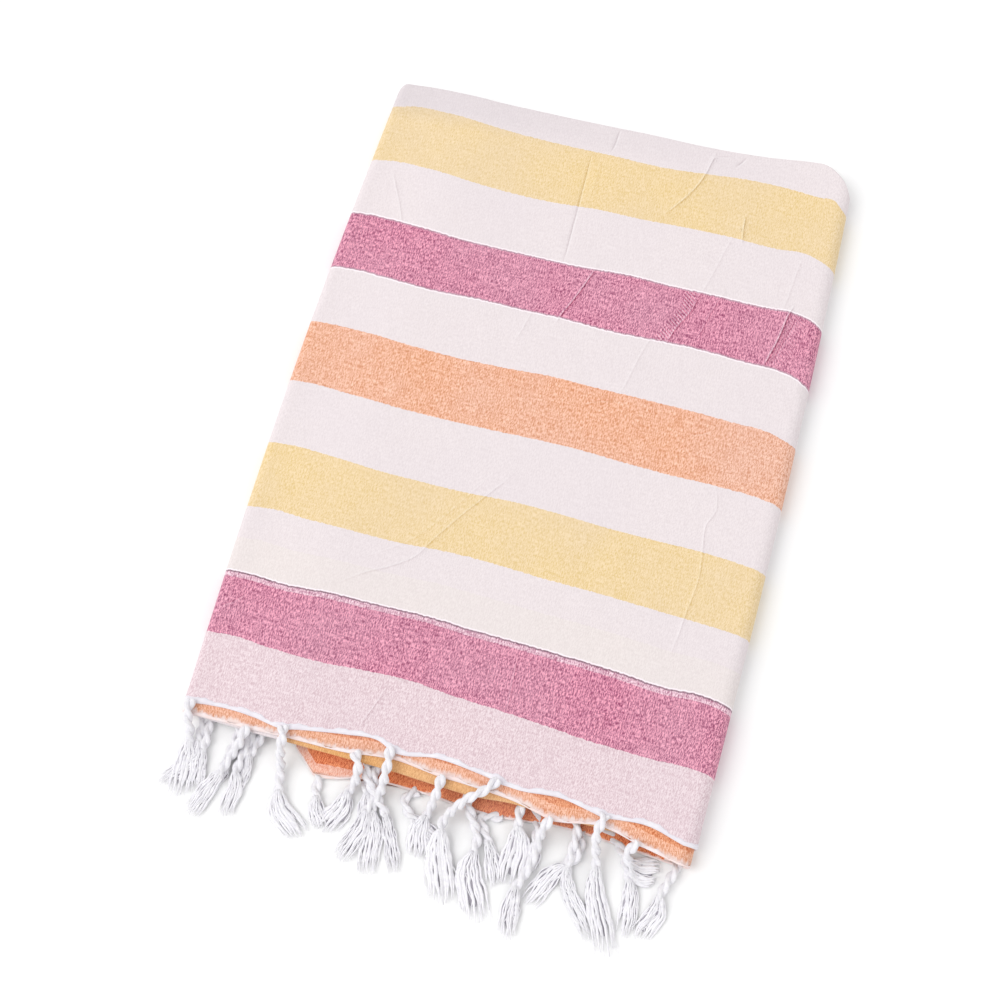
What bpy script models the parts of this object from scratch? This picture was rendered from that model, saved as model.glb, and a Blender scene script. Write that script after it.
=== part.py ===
"""Beach towel: one sheet of striped flat-woven cotton, folded up, with tassels on both ends.

The sheet is folded in quarters along its length, so that its two fringed ends lie on each
other at the near edge. That strip is then folded in thirds: the left third goes under the
middle, and the right third goes under both. The twelve layers lie a little apart. A narrow
strip along the hem of each end carries that end's tassels: twisted cords with loose brushes,
which hang over the layers below and lie on the surface in front of the towel.

+X runs along the stripes, +Y from the fringed edge to the plain far fold, and +Z up.
The origin is on the underside of the lowest layer. Sizes are in metres, and the tables
are in millimetres where they say so.
"""
import math
import random

import bmesh
import bpy
from mathutils import Vector

MM = 0.001

# Driving dimensions of the folded cloth.
CLOTH_THICKNESS = 0.0010
LAYER_PITCH = 0.00145              # from the middle of one layer to the middle of the next
FOLDED_WIDTH = 0.320               # from the left fold to the right fold
LEFT_FOLD_RADIUS = 0.0009          # of the innermost layer, at its middle
LEFT_THIRD_LENGTH = 0.300          # flat part of the innermost layer, under the middle
RIGHT_THIRD_LENGTH = 0.2403
FREE_EDGE_STAGGER = 1.0            # how far a layer's side edge is drawn in, per height
INNER_FOLD_SETBACK = 0.0010        # of the far fold that lies inside the outer one

# Unevenness of the folded packet.
SIDE_BOW = 0.0032                  # how far each long side bulges halfway along
LEFT_CORNER, RIGHT_CORNER = 0.010, 0.027   # how far the far corners' rounding reaches
CORNER_DEPTH_SHARE = 0.80
CORNER_FADE = (0.110, 0.200)       # the rounding fades out between these places along +Y
STEP_DOWN = (-0.090, -0.150)       # where the packet sinks beside the right third's edge
SWELL_ACROSS, SWELL_ACROSS_WAVE, SWELL_ACROSS_PHASE = 0.030, 0.205, 0.6
SWELL_ALONG, SWELL_ALONG_WAVE, SWELL_ALONG_PHASE = 0.035, 0.270, -0.4

# Fringe.
STRIP_GAP = 0.0004                 # between the cloth's edge and the strip beside it
STRIP_WIDTH = 0.0024
ROOT_HALF_WIDTH = 0.0021
CORD_HALF_WIDTH = 0.0023           # a cord's section before it is twisted
CORD_HALF_HEIGHT = 0.0015
CORD_SHARE = 0.60                  # of a tassel's length, the rest being its loose brush
SWELLING_LENGTH = 0.006            # in which a root grows to the cord's full section
TWIST_STEPS = 8
TWIST_STEP_ANGLE = math.radians(45)
LOCKS = 4
FORK_LENGTH = 0.0035
FORK_HALF_WIDTH = 0.0031
BRUSH_HALF_WIDTH = 0.0049
LOCK_MIDDLE_WIDTH, LOCK_MIDDLE_HEIGHT = 0.0018, 0.0024
LOCK_TIP_WIDTH, LOCK_TIP_HEIGHT = 0.0012, 0.0011
LOCK_MIDDLE_SHARE = 0.5
LOCK_RAGGEDNESS = 0.0035
EDGE_CLEARANCE = 0.0006            # between a tassel and the end of a layer under or over it
LONG_FALL, SHORT_FALL = 1.45, 1.75  # length of a fall, per height, from high and low layers
HIGH_LAYERS = 0.010
FIRST_LANE, LANE_PITCH = -0.1545, 0.0113   # the tassels' tips lie in lanes of this pitch
RAGGED_REACH = 0.0045
SEED = 11

CLOTH_COLOUR, CLOTH_ROUGHNESS = (0.86, 0.74, 0.72), 0.90
YARN_COLOUR, YARN_ROUGHNESS = (0.88, 0.88, 0.91), 0.85

# The cloth's grid: rows shared by all layers, and the steps of each fold.
ROWS_ALONG = (-0.200, -0.100, 0.0, 0.100, 0.185)
OUTER_FOLD_STEPS, INNER_FOLD_STEPS, NEAR_FOLD_STEPS = 5, 4, 4
LEFT_FOLD_STEPS, RIGHT_FOLD_STEPS = 5, 7

# The near edge, in millimetres: a row for each column of the cloth's grid, with how far
# the hems of both ends and the fold between them reach there.
EDGE_NAMES = ("x", "hem_a", "hem_b", "near_fold")
LEFT_THIRD = (
    (100.0, -224, -226, -227),
    (40.0, -225, -226, -227),
    (-30.0, -224, -227, -228),
    (-98.0, -224, -227, -228),
    (-113.0, -225, -228, -229),
    (-128.0, -226, -230, -231),
    (-154.25, -229.5, -236.5, -236.5),
)
MIDDLE_THIRD = (
    (-154.25, -229.5, -236.5, -236.5),
    (-128.0, -228, -236, -237),
    (-113.0, -229, -236, -237.5),
    (-98.0, -231, -235.5, -237.5),
    (-78.0, -228, -235, -237.5),
    (-36.0, -223, -232, -237.5),
    (-25.0, -227, -231, -237.5),
    (0.0, -224, -233, -238.5),
    (27.0, -226, -234, -239),
    (50.0, -229, -235.5, -237),
    (77.0, -227, -240, -238),
    (102.0, -230.5, -236, -237),
    (130.0, -229, -241, -237),
    (151.35, -234, -245, -238),
)
RIGHT_THIRD = (
    (151.35, -234, -245, -238),
    (120.0, -233, -243, -234),
    (80.0, -232, -241.5, -233),
    (40.0, -234, -246, -234),
    (-10.0, -233, -244, -234),
    (-45.0, -235, -246, -235),
    (-62.0, -237, -251, -236),
    (-71.0, -236, -251, -236),
)
LEFT_FREE_EDGE = (None, -224, -226, -228)
RIGHT_FREE_EDGE = (None, -228, -238, -230)

# The far fold's reach, in millimetres, in a row for each place across.
FAR_EDGE = ((-160, 223.0), (-60, 222.5), (60, 223.5), (110, 226.0), (160, 229.0))

# The tassels' tips, in millimetres, in a row for each place across.
TIP_REACH = ((-160, -284), (-110, -292), (-60, -290), (0, -298), (60, -308), (110, -304),
             (135, -294), (160, -280))

# The tassels from left to right: the end and the third that each hangs from, and the
# place of its root across, in millimetres.
TASSELS = (
    ("a", "middle", -151.0), ("b", "left", -146.0), ("a", "left", -138.0),
    ("b", "left", -124.0), ("b", "middle", -116.0), ("a", "left", -108.0),
    ("b", "left", -101.0), ("a", "middle", -94.0), ("b", "right", -66.5),
    ("b", "middle", -48.0), ("a", "right", -42.0), ("b", "left", -40.0),
    ("a", "left", -34.0), ("a", "middle", -28.0), ("b", "right", -7.0),
    ("b", "middle", 10.0), ("a", "left", 20.0), ("a", "middle", 39.0),
    ("b", "right", 46.0), ("b", "left", 54.0), ("a", "right", 62.0),
    ("b", "middle", 74.0), ("a", "left", 82.0), ("b", "right", 92.0),
    ("a", "right", 100.0), ("a", "middle", 107.0), ("b", "middle", 126.0),
    ("a", "middle", 147.0),
)

# Heights of the layers in the strip that is folded in quarters, from its inner side.
HEIGHT = {"a": 3 * LAYER_PITCH, "b": 2 * LAYER_PITCH}
STACK = 3 * LAYER_PITCH
RIGHT_FOLD_RADIUS = LEFT_FOLD_RADIUS + 2 * LAYER_PITCH
MIDDLE_HEIGHT = 2 * RIGHT_FOLD_RADIUS + STACK + CLOTH_THICKNESS / 2
LEFT_BEND = -FOLDED_WIDTH / 2 + LEFT_FOLD_RADIUS + STACK + CLOTH_THICKNESS / 2
RIGHT_BEND = FOLDED_WIDTH / 2 - RIGHT_FOLD_RADIUS - STACK - CLOTH_THICKNESS / 2
STEP_HEIGHT = 4 * LAYER_PITCH


def smooth(value, start, end):
    """0 before start and 1 after end, with an even ease between them."""
    share = min(1.0, max(0.0, (value - start) / (end - start)))
    return share * share * (3 - 2 * share)


def between(rows, x, column=1):
    """Read a column of a table at x, straight between its rows."""
    rows = sorted(row for row in rows if row[0] is not None)
    if x <= rows[0][0]:
        return rows[0][column]
    for low, high in zip(rows, rows[1:]):
        if x <= high[0]:
            share = (x - low[0]) / (high[0] - low[0])
            return low[column] + share * (high[column] - low[column])
    return rows[-1][column]


THIRDS = {"left": LEFT_THIRD, "middle": MIDDLE_THIRD, "right": RIGHT_THIRD}


def edge_reach(third, x, name):
    """How far an edge of the cloth reaches at x, in metres."""
    return between(THIRDS[third], x / MM, EDGE_NAMES.index(name)) * MM


# ---- Columns: lines of the grid from the left third's free edge to the right third's.

def flat_column(third, x):
    """A column in a flat third."""
    edges = {name: edge_reach(third, x, name) for name in EDGE_NAMES[1:]}
    return {"third": third, "x": x, "angle": None, **edges}


def free_column(third, row):
    """The column on a free side edge, whose place depends on the layer."""
    edges = {name: value * MM for name, value in zip(EDGE_NAMES[1:], row[1:])}
    return {"third": third, "x": None, "angle": None, **edges}


def bend_columns(third, start, end, steps):
    """The columns around a side fold, between the columns that it joins."""
    columns = []
    for step in range(1, steps):
        share = step / steps
        edges = {name: start[name] + share * (end[name] - start[name])
                 for name in EDGE_NAMES[1:]}
        columns.append({"third": third, "x": None, "angle": math.pi * share, **edges})
    return columns


def all_columns():
    """Every column, in order."""
    flat = {}
    for third, rows in THIRDS.items():
        flat[third] = [flat_column(third, x) for x in sorted(row[0] * MM for row in rows)]
    flat["left"].reverse()
    flat["right"].reverse()
    left_bend = bend_columns("left_fold", flat["left"][-1], flat["middle"][0],
                             LEFT_FOLD_STEPS)
    right_bend = bend_columns("right_fold", flat["middle"][-1], flat["right"][0],
                              RIGHT_FOLD_STEPS)
    return ([free_column("left", LEFT_FREE_EDGE)] + flat["left"] + left_bend
            + flat["middle"] + right_bend + flat["right"]
            + [free_column("right", RIGHT_FREE_EDGE)])


# ---- Placing points.

def fold_across(column, height, layer):
    """The place across and up of a point at a height in the folded strip.

    A free side edge stands upright, so its place across is that of its layer's middle.
    """
    third = column["third"]
    left_radius = LEFT_FOLD_RADIUS + height
    right_radius = RIGHT_FOLD_RADIUS + height
    if third == "middle":
        return column["x"], MIDDLE_HEIGHT + height
    if third == "left_fold":
        angle = math.pi - column["angle"]
        return (LEFT_BEND - left_radius * math.sin(angle),
                MIDDLE_HEIGHT - LEFT_FOLD_RADIUS + left_radius * math.cos(angle))
    if third == "right_fold":
        angle = column["angle"]
        return (RIGHT_BEND + right_radius * math.sin(angle),
                MIDDLE_HEIGHT - RIGHT_FOLD_RADIUS + right_radius * math.cos(angle))
    if third == "left":
        x = column["x"]
        if x is None:
            x = LEFT_BEND + LEFT_THIRD_LENGTH - FREE_EDGE_STAGGER * layer
        return x, MIDDLE_HEIGHT - 2 * LEFT_FOLD_RADIUS - height
    x = column["x"]
    if x is None:
        x = RIGHT_BEND - RIGHT_THIRD_LENGTH + FREE_EDGE_STAGGER * layer
    return x, MIDDLE_HEIGHT - 2 * RIGHT_FOLD_RADIUS - height


def settle(x, y, z, lowest_third):
    """Give a point of the even packet its place in the uneven, settled one."""
    if not lowest_third:
        z -= STEP_HEIGHT * smooth(x, *STEP_DOWN)
    swell_across = math.sin(2 * math.pi * x / SWELL_ACROSS_WAVE + SWELL_ACROSS_PHASE)
    swell_along = math.sin(2 * math.pi * y / SWELL_ALONG_WAVE + SWELL_ALONG_PHASE)
    z *= 1 + SWELL_ACROSS * swell_across + SWELL_ALONG * swell_along
    left_reach = max(0.0, -x - FOLDED_WIDTH / 2 + LEFT_CORNER)
    right_reach = max(0.0, x - FOLDED_WIDTH / 2 + RIGHT_CORNER)
    drop = left_reach ** 2 / LEFT_CORNER + right_reach ** 2 / RIGHT_CORNER
    y -= CORNER_DEPTH_SHARE * drop * smooth(y, *CORNER_FADE)
    length = between(FAR_EDGE, 0) * MM
    bow = SIDE_BOW * max(0.0, math.cos(math.pi * y / (2 * length)))
    x += bow * x / (FOLDED_WIDTH / 2)
    return x, y, z


def place(column, y, layer, offset):
    """The place of a point of the folded towel, at an offset from its layer's middle."""
    x, z = fold_across(column, layer + offset, layer)
    return settle(x, y, z, column["third"] == "right")


# ---- The cloth.

def far_place(column):
    """The centre line of the far folds in a column."""
    x, _ = fold_across(column, STACK / 2, STACK / 2)
    return between(FAR_EDGE, x / MM) * MM - STACK / 2 - CLOTH_THICKNESS / 2


def fold_rows(centre_y, centre_height, radius, start, end, steps, facing):
    """Rows around one fold, as place along, height and the sheet's outward direction."""
    rows = []
    for step in range(steps + 1):
        angle = math.radians(start + (end - start) * step / steps)
        across, up = math.cos(angle), math.sin(angle)
        rows.append((centre_y + radius * across, centre_height + radius * up,
                     facing * across, facing * up))
    return rows


def cloth_rows(column):
    """The sheet's section along its length in one column, from end A to end B."""
    far = far_place(column)
    near = column["near_fold"] + LAYER_PITCH / 2 + CLOTH_THICKNESS / 2
    clear = STRIP_WIDTH + STRIP_GAP
    half = LAYER_PITCH / 2
    rows = [(column["hem_a"] + clear, 3 * LAYER_PITCH, 0, 1)]
    rows += [(y, 3 * LAYER_PITCH, 0, 1) for y in ROWS_ALONG]
    rows += fold_rows(far, STACK / 2, STACK / 2, 90, -90, OUTER_FOLD_STEPS, 1)
    rows += [(y, 0.0, 0, -1) for y in reversed(ROWS_ALONG)]
    rows += fold_rows(near, half, half, 270, 90, NEAR_FOLD_STEPS, 1)
    rows += [(y, LAYER_PITCH, 0, 1) for y in ROWS_ALONG]
    rows += fold_rows(far - INNER_FOLD_SETBACK, 3 * half, half, -90, 90,
                      INNER_FOLD_STEPS, -1)
    rows += [(y, 2 * LAYER_PITCH, 0, -1) for y in reversed(ROWS_ALONG)]
    rows.append((column["hem_b"] + clear, 2 * LAYER_PITCH, 0, -1))
    return rows


def quad(bm, a, b, c, d):
    """Two triangles for the four-sided face a, b, c, d."""
    bm.faces.new((a, b, c))
    bm.faces.new((a, c, d))


def build_cloth(bm):
    """The whole folded sheet as one closed solid."""
    half = CLOTH_THICKNESS / 2
    sides = ([], [])
    for column in all_columns():
        for side, sign in zip(sides, (1, -1)):
            side.append([bm.verts.new(place(column, y + sign * half * along,
                                            layer, sign * half * up))
                         for y, layer, along, up in cloth_rows(column)])
    outer, inner = sides
    last_column, last_row = len(outer) - 1, len(outer[0]) - 1
    for i in range(last_column):
        for j in range(last_row):
            quad(bm, outer[i][j], outer[i][j + 1], outer[i + 1][j + 1], outer[i + 1][j])
            quad(bm, inner[i][j], inner[i + 1][j], inner[i + 1][j + 1], inner[i][j + 1])
        for j in (0, last_row):
            quad(bm, inner[i][j], outer[i][j], outer[i + 1][j], inner[i + 1][j])
    for i in (0, last_column):
        for j in range(last_row):
            quad(bm, outer[i][j], outer[i][j + 1], inner[i][j + 1], inner[i][j])


# ---- The fringe.

def strip_corners(column, end):
    """The four corners of an end's strip in a column: back, front, front and back."""
    front = column["hem_" + end]
    back = front + STRIP_WIDTH
    half = CLOTH_THICKNESS / 2
    corners = ((back, half), (front, half), (front, -half), (back, -half))
    return [Vector(place(column, y, HEIGHT[end], offset)) for y, offset in corners]


def strip_sections(end):
    """The sections of a strip, in order, with the lane of the tassel that follows each.

    Between the cloth's columns the strip runs straight, as the cloth's edge does, and
    each tassel's root has a section at either side.
    """
    sections = []
    columns = all_columns()
    for column, other in zip(columns, columns[1:]):
        corners, next_corners = strip_corners(column, end), strip_corners(other, end)
        sections.append((corners, None))
        if column["third"] != other["third"] or None in (column["x"], other["x"]):
            continue
        span = other["x"] - column["x"]
        for lane, (tassel_end, third, root) in in_order(span):
            share = (root * MM - column["x"]) / span
            if (tassel_end, third) != (end, column["third"]) or not 0 < share < 1:
                continue
            reach = ROOT_HALF_WIDTH / abs(span)
            for side, mark in ((share - reach, lane), (share + reach, None)):
                sections.append(([a.lerp(b, side) for a, b in zip(corners, next_corners)],
                                 mark))
    sections.append((strip_corners(columns[-1], end), None))
    return sections


def in_order(span):
    """The tassels with their lanes, in the order of a run to the right or to the left."""
    return sorted(enumerate(TASSELS), key=lambda item: item[1][2] * span)


def outermost(third, x, names):
    """The furthest that any of the named edges reaches at x."""
    return min(edge_reach(third, x, name) for name in names)


def over_right_third(x):
    """Whether the right third lies under the left one at x."""
    return x > RIGHT_BEND - RIGHT_THIRD_LENGTH


def fall_start(third, x, root_y):
    """Where a tassel is past the last layer that it lies on, and falls."""
    if third == "middle":
        return min(root_y, outermost(third, x, ("hem_b", "near_fold"))) - EDGE_CLEARANCE
    if third == "left" and over_right_third(x):
        return edge_reach("right", x, "hem_b") - EDGE_CLEARANCE
    return root_y - EDGE_CLEARANCE


def swelling_start(end, third, x, root_y):
    """Where a tassel is past the last layer that lies on it, and can grow thick."""
    if third == "left":
        return outermost("middle", x, ("hem_b", "near_fold")) - EDGE_CLEARANCE
    if third == "right" and end == "a":
        return edge_reach(third, x, "hem_b") - EDGE_CLEARANCE
    return root_y - EDGE_CLEARANCE


def ring(bm, x, y, bottom, half_width, half_height, turn=0.0):
    """A four-sided section that stands on the height called bottom."""
    cos, sin = math.cos(turn), math.sin(turn)
    corners = ((-1, 1), (1, 1), (1, -1), (-1, -1))
    points = [(across * half_width * cos - up * half_height * sin,
               across * half_width * sin + up * half_height * cos)
              for across, up in corners]
    lowest = min(up for _, up in points)
    return [bm.verts.new((x + across, y, bottom + up - lowest)) for across, up in points]


def tube(bm, first, second):
    """The four sides between two sections, cut along the way that the cord twists."""
    for i in range(4):
        j = (i + 1) % 4
        quad(bm, first[i], first[j], second[j], second[i])


def build_brush(bm, rng, cord_end, path, start, length):
    """The loose end of a tassel: its cord forks into locks that spread and taper."""
    x, y, bottom = path(start + FORK_LENGTH)
    top_height = bottom + 2 * CORD_HALF_HEIGHT
    spots = [x + FORK_HALF_WIDTH * (2 * i / LOCKS - 1) for i in range(LOCKS + 1)]
    top = [bm.verts.new((spot, y, top_height)) for spot in spots]
    low = [bm.verts.new((spot, y, bottom)) for spot in spots]
    top_left, top_right, low_right, low_left = cord_end
    middle = LOCKS // 2
    for left, right, row in ((top_left, top_right, top), (low_left, low_right, low)):
        for i in range(LOCKS):
            corner = left if i < middle else right
            bm.faces.new((corner, row[i], row[i + 1]))
        bm.faces.new((left, row[middle], right))
    quad(bm, top_left, low_left, low[0], top[0])
    quad(bm, top_right, low_right, low[-1], top[-1])
    brush = length - start - FORK_LENGTH
    for i in range(LOCKS):
        aside = (2 * i + 1) / LOCKS - 1
        lock = [top[i], top[i + 1], low[i + 1], low[i]]
        reach = brush - rng.uniform(0, LOCK_RAGGEDNESS)
        shapes = ((LOCK_MIDDLE_SHARE, LOCK_MIDDLE_WIDTH, LOCK_MIDDLE_HEIGHT),
                  (1.0, LOCK_TIP_WIDTH, LOCK_TIP_HEIGHT))
        for share, width, height in shapes:
            centre, along, bottom = path(start + FORK_LENGTH + share * reach)
            spread = FORK_HALF_WIDTH + share * (BRUSH_HALF_WIDTH - FORK_HALF_WIDTH)
            section = ring(bm, centre + aside * spread, along, bottom, width / 2, height / 2)
            tube(bm, lock, section)
            lock = section
        bm.faces.new(lock)


def build_tassel(bm, rng, end, third, root, tip):
    """A tassel from its root, four corners of the strip, to its tip on the surface."""
    root_x = sum(corner.co.x for corner in root) / 4
    root_y = min(corner.co.y for corner in root)
    low_corners = (root[2].co.z, root[3].co.z)
    root_z = max(low_corners) if third == "middle" else min(low_corners)
    tip_x, tip_y = tip
    length = root_y - tip_y
    fall = fall_start(third, root_x, root_y)
    fall_length = root_z * (LONG_FALL if root_z > HIGH_LAYERS else SHORT_FALL)
    swelling = root_y - swelling_start(end, third, root_x, root_y)

    def path(distance):
        y = root_y - distance
        x = root_x + (tip_x - root_x) * distance / length
        down = smooth(fall - y, 0, fall_length) if fall_length > 0 else 1.0
        return x, y, root_z * (1 - down)

    cord_length = CORD_SHARE * length
    if swelling + 2 * SWELLING_LENGTH > cord_length:
        cord_length = swelling + 2 * SWELLING_LENGTH
    sections = [(swelling, ROOT_HALF_WIDTH, CLOTH_THICKNESS / 2, 0.0),
                (swelling + SWELLING_LENGTH, CORD_HALF_WIDTH, CORD_HALF_HEIGHT, 0.0)]
    twist_length = cord_length - swelling - SWELLING_LENGTH
    for step in range(1, TWIST_STEPS + 1):
        sections.append((swelling + SWELLING_LENGTH + twist_length * step / TWIST_STEPS,
                         CORD_HALF_WIDTH, CORD_HALF_HEIGHT, step * TWIST_STEP_ANGLE))
    last = root
    for distance, half_width, half_height, turn in sections:
        x, y, bottom = path(distance)
        section = ring(bm, x, y, bottom, half_width, half_height, turn)
        tube(bm, last, section)
        last = section
    build_brush(bm, rng, last, path, cord_length, length)


def build_fringe(bm, end):
    """One end's strip with its tassels, as one closed solid."""
    rng = random.Random(SEED + ord(end))
    sections = strip_sections(end)
    lines = [[bm.verts.new(corner) for corner in corners] for corners, _ in sections]
    for first, second, (_, lane) in zip(lines, lines[1:], sections):
        for i in range(4):
            j = (i + 1) % 4
            if lane is None or i != 1:
                quad(bm, first[i], first[j], second[j], second[i])
        if lane is None:
            continue
        third = TASSELS[lane][1]
        root = [first[1], second[1], second[2], first[2]]
        if third != "middle":               # the strip lies face down in the outer thirds
            root = [second[2], first[2], first[1], second[1]]
        tip_x = FIRST_LANE + lane * LANE_PITCH
        tip_y = between(TIP_REACH, tip_x / MM) * MM + rng.uniform(0, RAGGED_REACH)
        build_tassel(bm, rng, end, third, root, (tip_x, tip_y))
    for line in (lines[0], lines[-1]):
        quad(bm, *line)


# ---- Materials and objects.

def add_material(name, colour, roughness):
    """A Principled material for one piece."""
    material = bpy.data.materials.new(name)
    material.use_nodes = True
    shader = material.node_tree.nodes["Principled BSDF"]
    shader.inputs["Base Color"].default_value = (*colour, 1.0)
    shader.inputs["Roughness"].default_value = roughness
    shader.inputs["Metallic"].default_value = 0.0
    return material


def add_piece(name, build, material):
    """One named object whose mesh a function builds."""
    bm = bmesh.new()
    build(bm)
    bmesh.ops.recalc_face_normals(bm, faces=bm.faces[:])
    mesh = bpy.data.meshes.new(name)
    bm.to_mesh(mesh)
    bm.free()
    mesh.materials.append(material)
    piece = bpy.data.objects.new(name, mesh)
    bpy.context.scene.collection.objects.link(piece)
    return piece


def main():
    """Clear the scene and build the towel."""
    for old in list(bpy.data.objects):
        bpy.data.objects.remove(old, do_unlink=True)
    cloth = add_material("woven_cotton", CLOTH_COLOUR, CLOTH_ROUGHNESS)
    yarn = add_material("cotton_yarn", YARN_COLOUR, YARN_ROUGHNESS)
    add_piece("towel_cloth", build_cloth, cloth)
    add_piece("fringe_end_a", lambda bm: build_fringe(bm, "a"), yarn)
    add_piece("fringe_end_b", lambda bm: build_fringe(bm, "b"), yarn)


main()
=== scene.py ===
"""Looks of the folded beach towel: one striped cotton sheet with hems and tassels at both ends.

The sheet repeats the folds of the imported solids: in quarters along its length, and the strip
then in thirds. Its stripes follow the cloth through every fold, and the hems and the tassels
lie where the fringes' solids are. Sizes are in metres, or in millimetres where that is said.
"""
import math
import random

import bpy
import numpy as np
from mathutils import Matrix, Vector


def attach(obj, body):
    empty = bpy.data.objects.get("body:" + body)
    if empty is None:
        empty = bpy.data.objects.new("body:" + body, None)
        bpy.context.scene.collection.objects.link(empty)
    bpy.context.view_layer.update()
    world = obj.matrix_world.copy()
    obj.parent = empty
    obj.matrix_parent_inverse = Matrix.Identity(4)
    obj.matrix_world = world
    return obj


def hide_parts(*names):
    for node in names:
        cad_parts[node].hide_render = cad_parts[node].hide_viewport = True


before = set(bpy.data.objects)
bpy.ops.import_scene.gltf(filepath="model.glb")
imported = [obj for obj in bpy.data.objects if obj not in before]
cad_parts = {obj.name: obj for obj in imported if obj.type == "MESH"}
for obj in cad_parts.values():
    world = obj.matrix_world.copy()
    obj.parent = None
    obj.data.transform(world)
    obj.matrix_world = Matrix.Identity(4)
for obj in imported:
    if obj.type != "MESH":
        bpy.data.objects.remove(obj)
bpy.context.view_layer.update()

MM = 0.001

# ---- The folded packet, as in the part's solids.
LAYER_PITCH = 0.00145
SOLID_THICKNESS = 0.0010
STACK = 3 * LAYER_PITCH
FOLDED_WIDTH = 0.320
LEFT_FOLD_RADIUS = 0.0009
RIGHT_FOLD_RADIUS = LEFT_FOLD_RADIUS + 2 * LAYER_PITCH
MIDDLE_HEIGHT = 2 * RIGHT_FOLD_RADIUS + STACK + SOLID_THICKNESS / 2
BEND_DEPTH = STACK + SOLID_THICKNESS / 2
# Each side fold: which way it bulges, its middle, its inner radius, and the length of the
# outer third that it leads to.
SIDES = {"left": (-1, -FOLDED_WIDTH / 2 + LEFT_FOLD_RADIUS + BEND_DEPTH, LEFT_FOLD_RADIUS, 0.300),
         "right": (1, FOLDED_WIDTH / 2 - RIGHT_FOLD_RADIUS - BEND_DEPTH, RIGHT_FOLD_RADIUS, 0.2403)}
RIGHT_FREE_EDGE = SIDES["right"][1] - SIDES["right"][3]
INNER_FOLD_SETBACK = 0.0010
LEFT_BOW, RIGHT_BOW = 0.0047, 0.0030
LEFT_CORNER, RIGHT_CORNER = 0.006, 0.0245
CORNER_DEPTH_SHARE = 0.80
CORNER_FADE = (0.110, 0.200)
STEP_DOWN, STEP_HEIGHT = (-0.090, -0.150), 4 * LAYER_PITCH
SWELL_ACROSS, SWELL_ACROSS_WAVE, SWELL_ACROSS_PHASE = 0.030, 0.205, 0.6
SWELL_ALONG, SWELL_ALONG_WAVE, SWELL_ALONG_PHASE = 0.035, 0.270, -0.4
HEIGHT = {"a": 3 * LAYER_PITCH, "b": 2 * LAYER_PITCH}  # of the layers that the two ends lie in

# The near edge, in millimetres: a place across, and how far the two hems and the fold reach.
EDGE_NAMES = ("hem_a", "hem_b", "near_fold")
THIRDS = {
    "left": ((100, -224, -226, -227), (40, -225, -226, -227), (-30, -224, -227, -228),
             (-98, -224, -227, -228), (-113, -225, -228, -229), (-128, -226, -230, -231),
             (-154.25, -229.5, -236.5, -236.5)),
    "middle": ((-154.25, -229.5, -236.5, -236.5), (-128, -228, -236, -237),
               (-113, -229, -236, -237.5), (-98, -231, -235.5, -237.5),
               (-78, -228, -235, -237.5), (-56, -224.5, -234.5, -237.5),
               (-36, -223, -232, -237.5), (-25, -227, -231, -237.5), (0, -224, -233, -238.5),
               (27, -226, -234, -239), (50, -229, -235.5, -237), (77, -227, -240, -238),
               (102, -230.5, -236, -237), (130, -229, -241, -237), (151.35, -234, -245, -238)),
    "right": ((151.35, -234, -245, -238), (120, -233, -243, -234), (80, -232, -241.5, -233),
              (40, -234, -246, -234), (-10, -233, -244, -234), (-45, -235, -246, -235),
              (-62, -237, -251, -236), (-71, -236, -251, -236)),
}
# The same at the outer thirds' free side edges.
FREE_EDGES = {"left": (-224, -226, -228), "right": (-228, -238, -230)}
# And the far edge: a place across, and how far the fold reaches.
FAR_EDGE = ((-160, 224.0), (-136, 225.2), (-112, 223.8), (-90, 222.2), (-60, 221.8), (-20, 221.4),
            (20, 221.6), (60, 221.4), (100, 223.8), (130, 227.6), (160, 229.0))

# ---- The fine sheet.
CLOTH_THICKNESS = 0.0008
END_A_OFFSET = 0.2247  # from the origin to where end A's first stripe begins
HEM_CLEARANCE = 0.0012  # the cloth's ends lie inside the hems' rolls
COLUMN_PITCH = 0.00108  # of the grid's columns on the middle third
HIDDEN_COLUMN_PITCH = 0.016  # and on the thirds under it
SIDE_FOLD_STEPS = 10
TOP_ROWS = 186
# Places of the rows of the hidden layers, from the near edge, in millimetres.
HIDDEN_ROW_PLACES = (2, 5, 9, 14, 20, 28, 60, 160, 300)
INNER_SKIN_STEP = 3  # the inner skin takes every third column and row
NEAR_DROOP = 0.0022  # how far the overhanging near edge sinks
NEAR_DROOP_SPAN = (0.222, 0.242)
DROOP_HEIGHTS = (0.006, 0.016)

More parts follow.
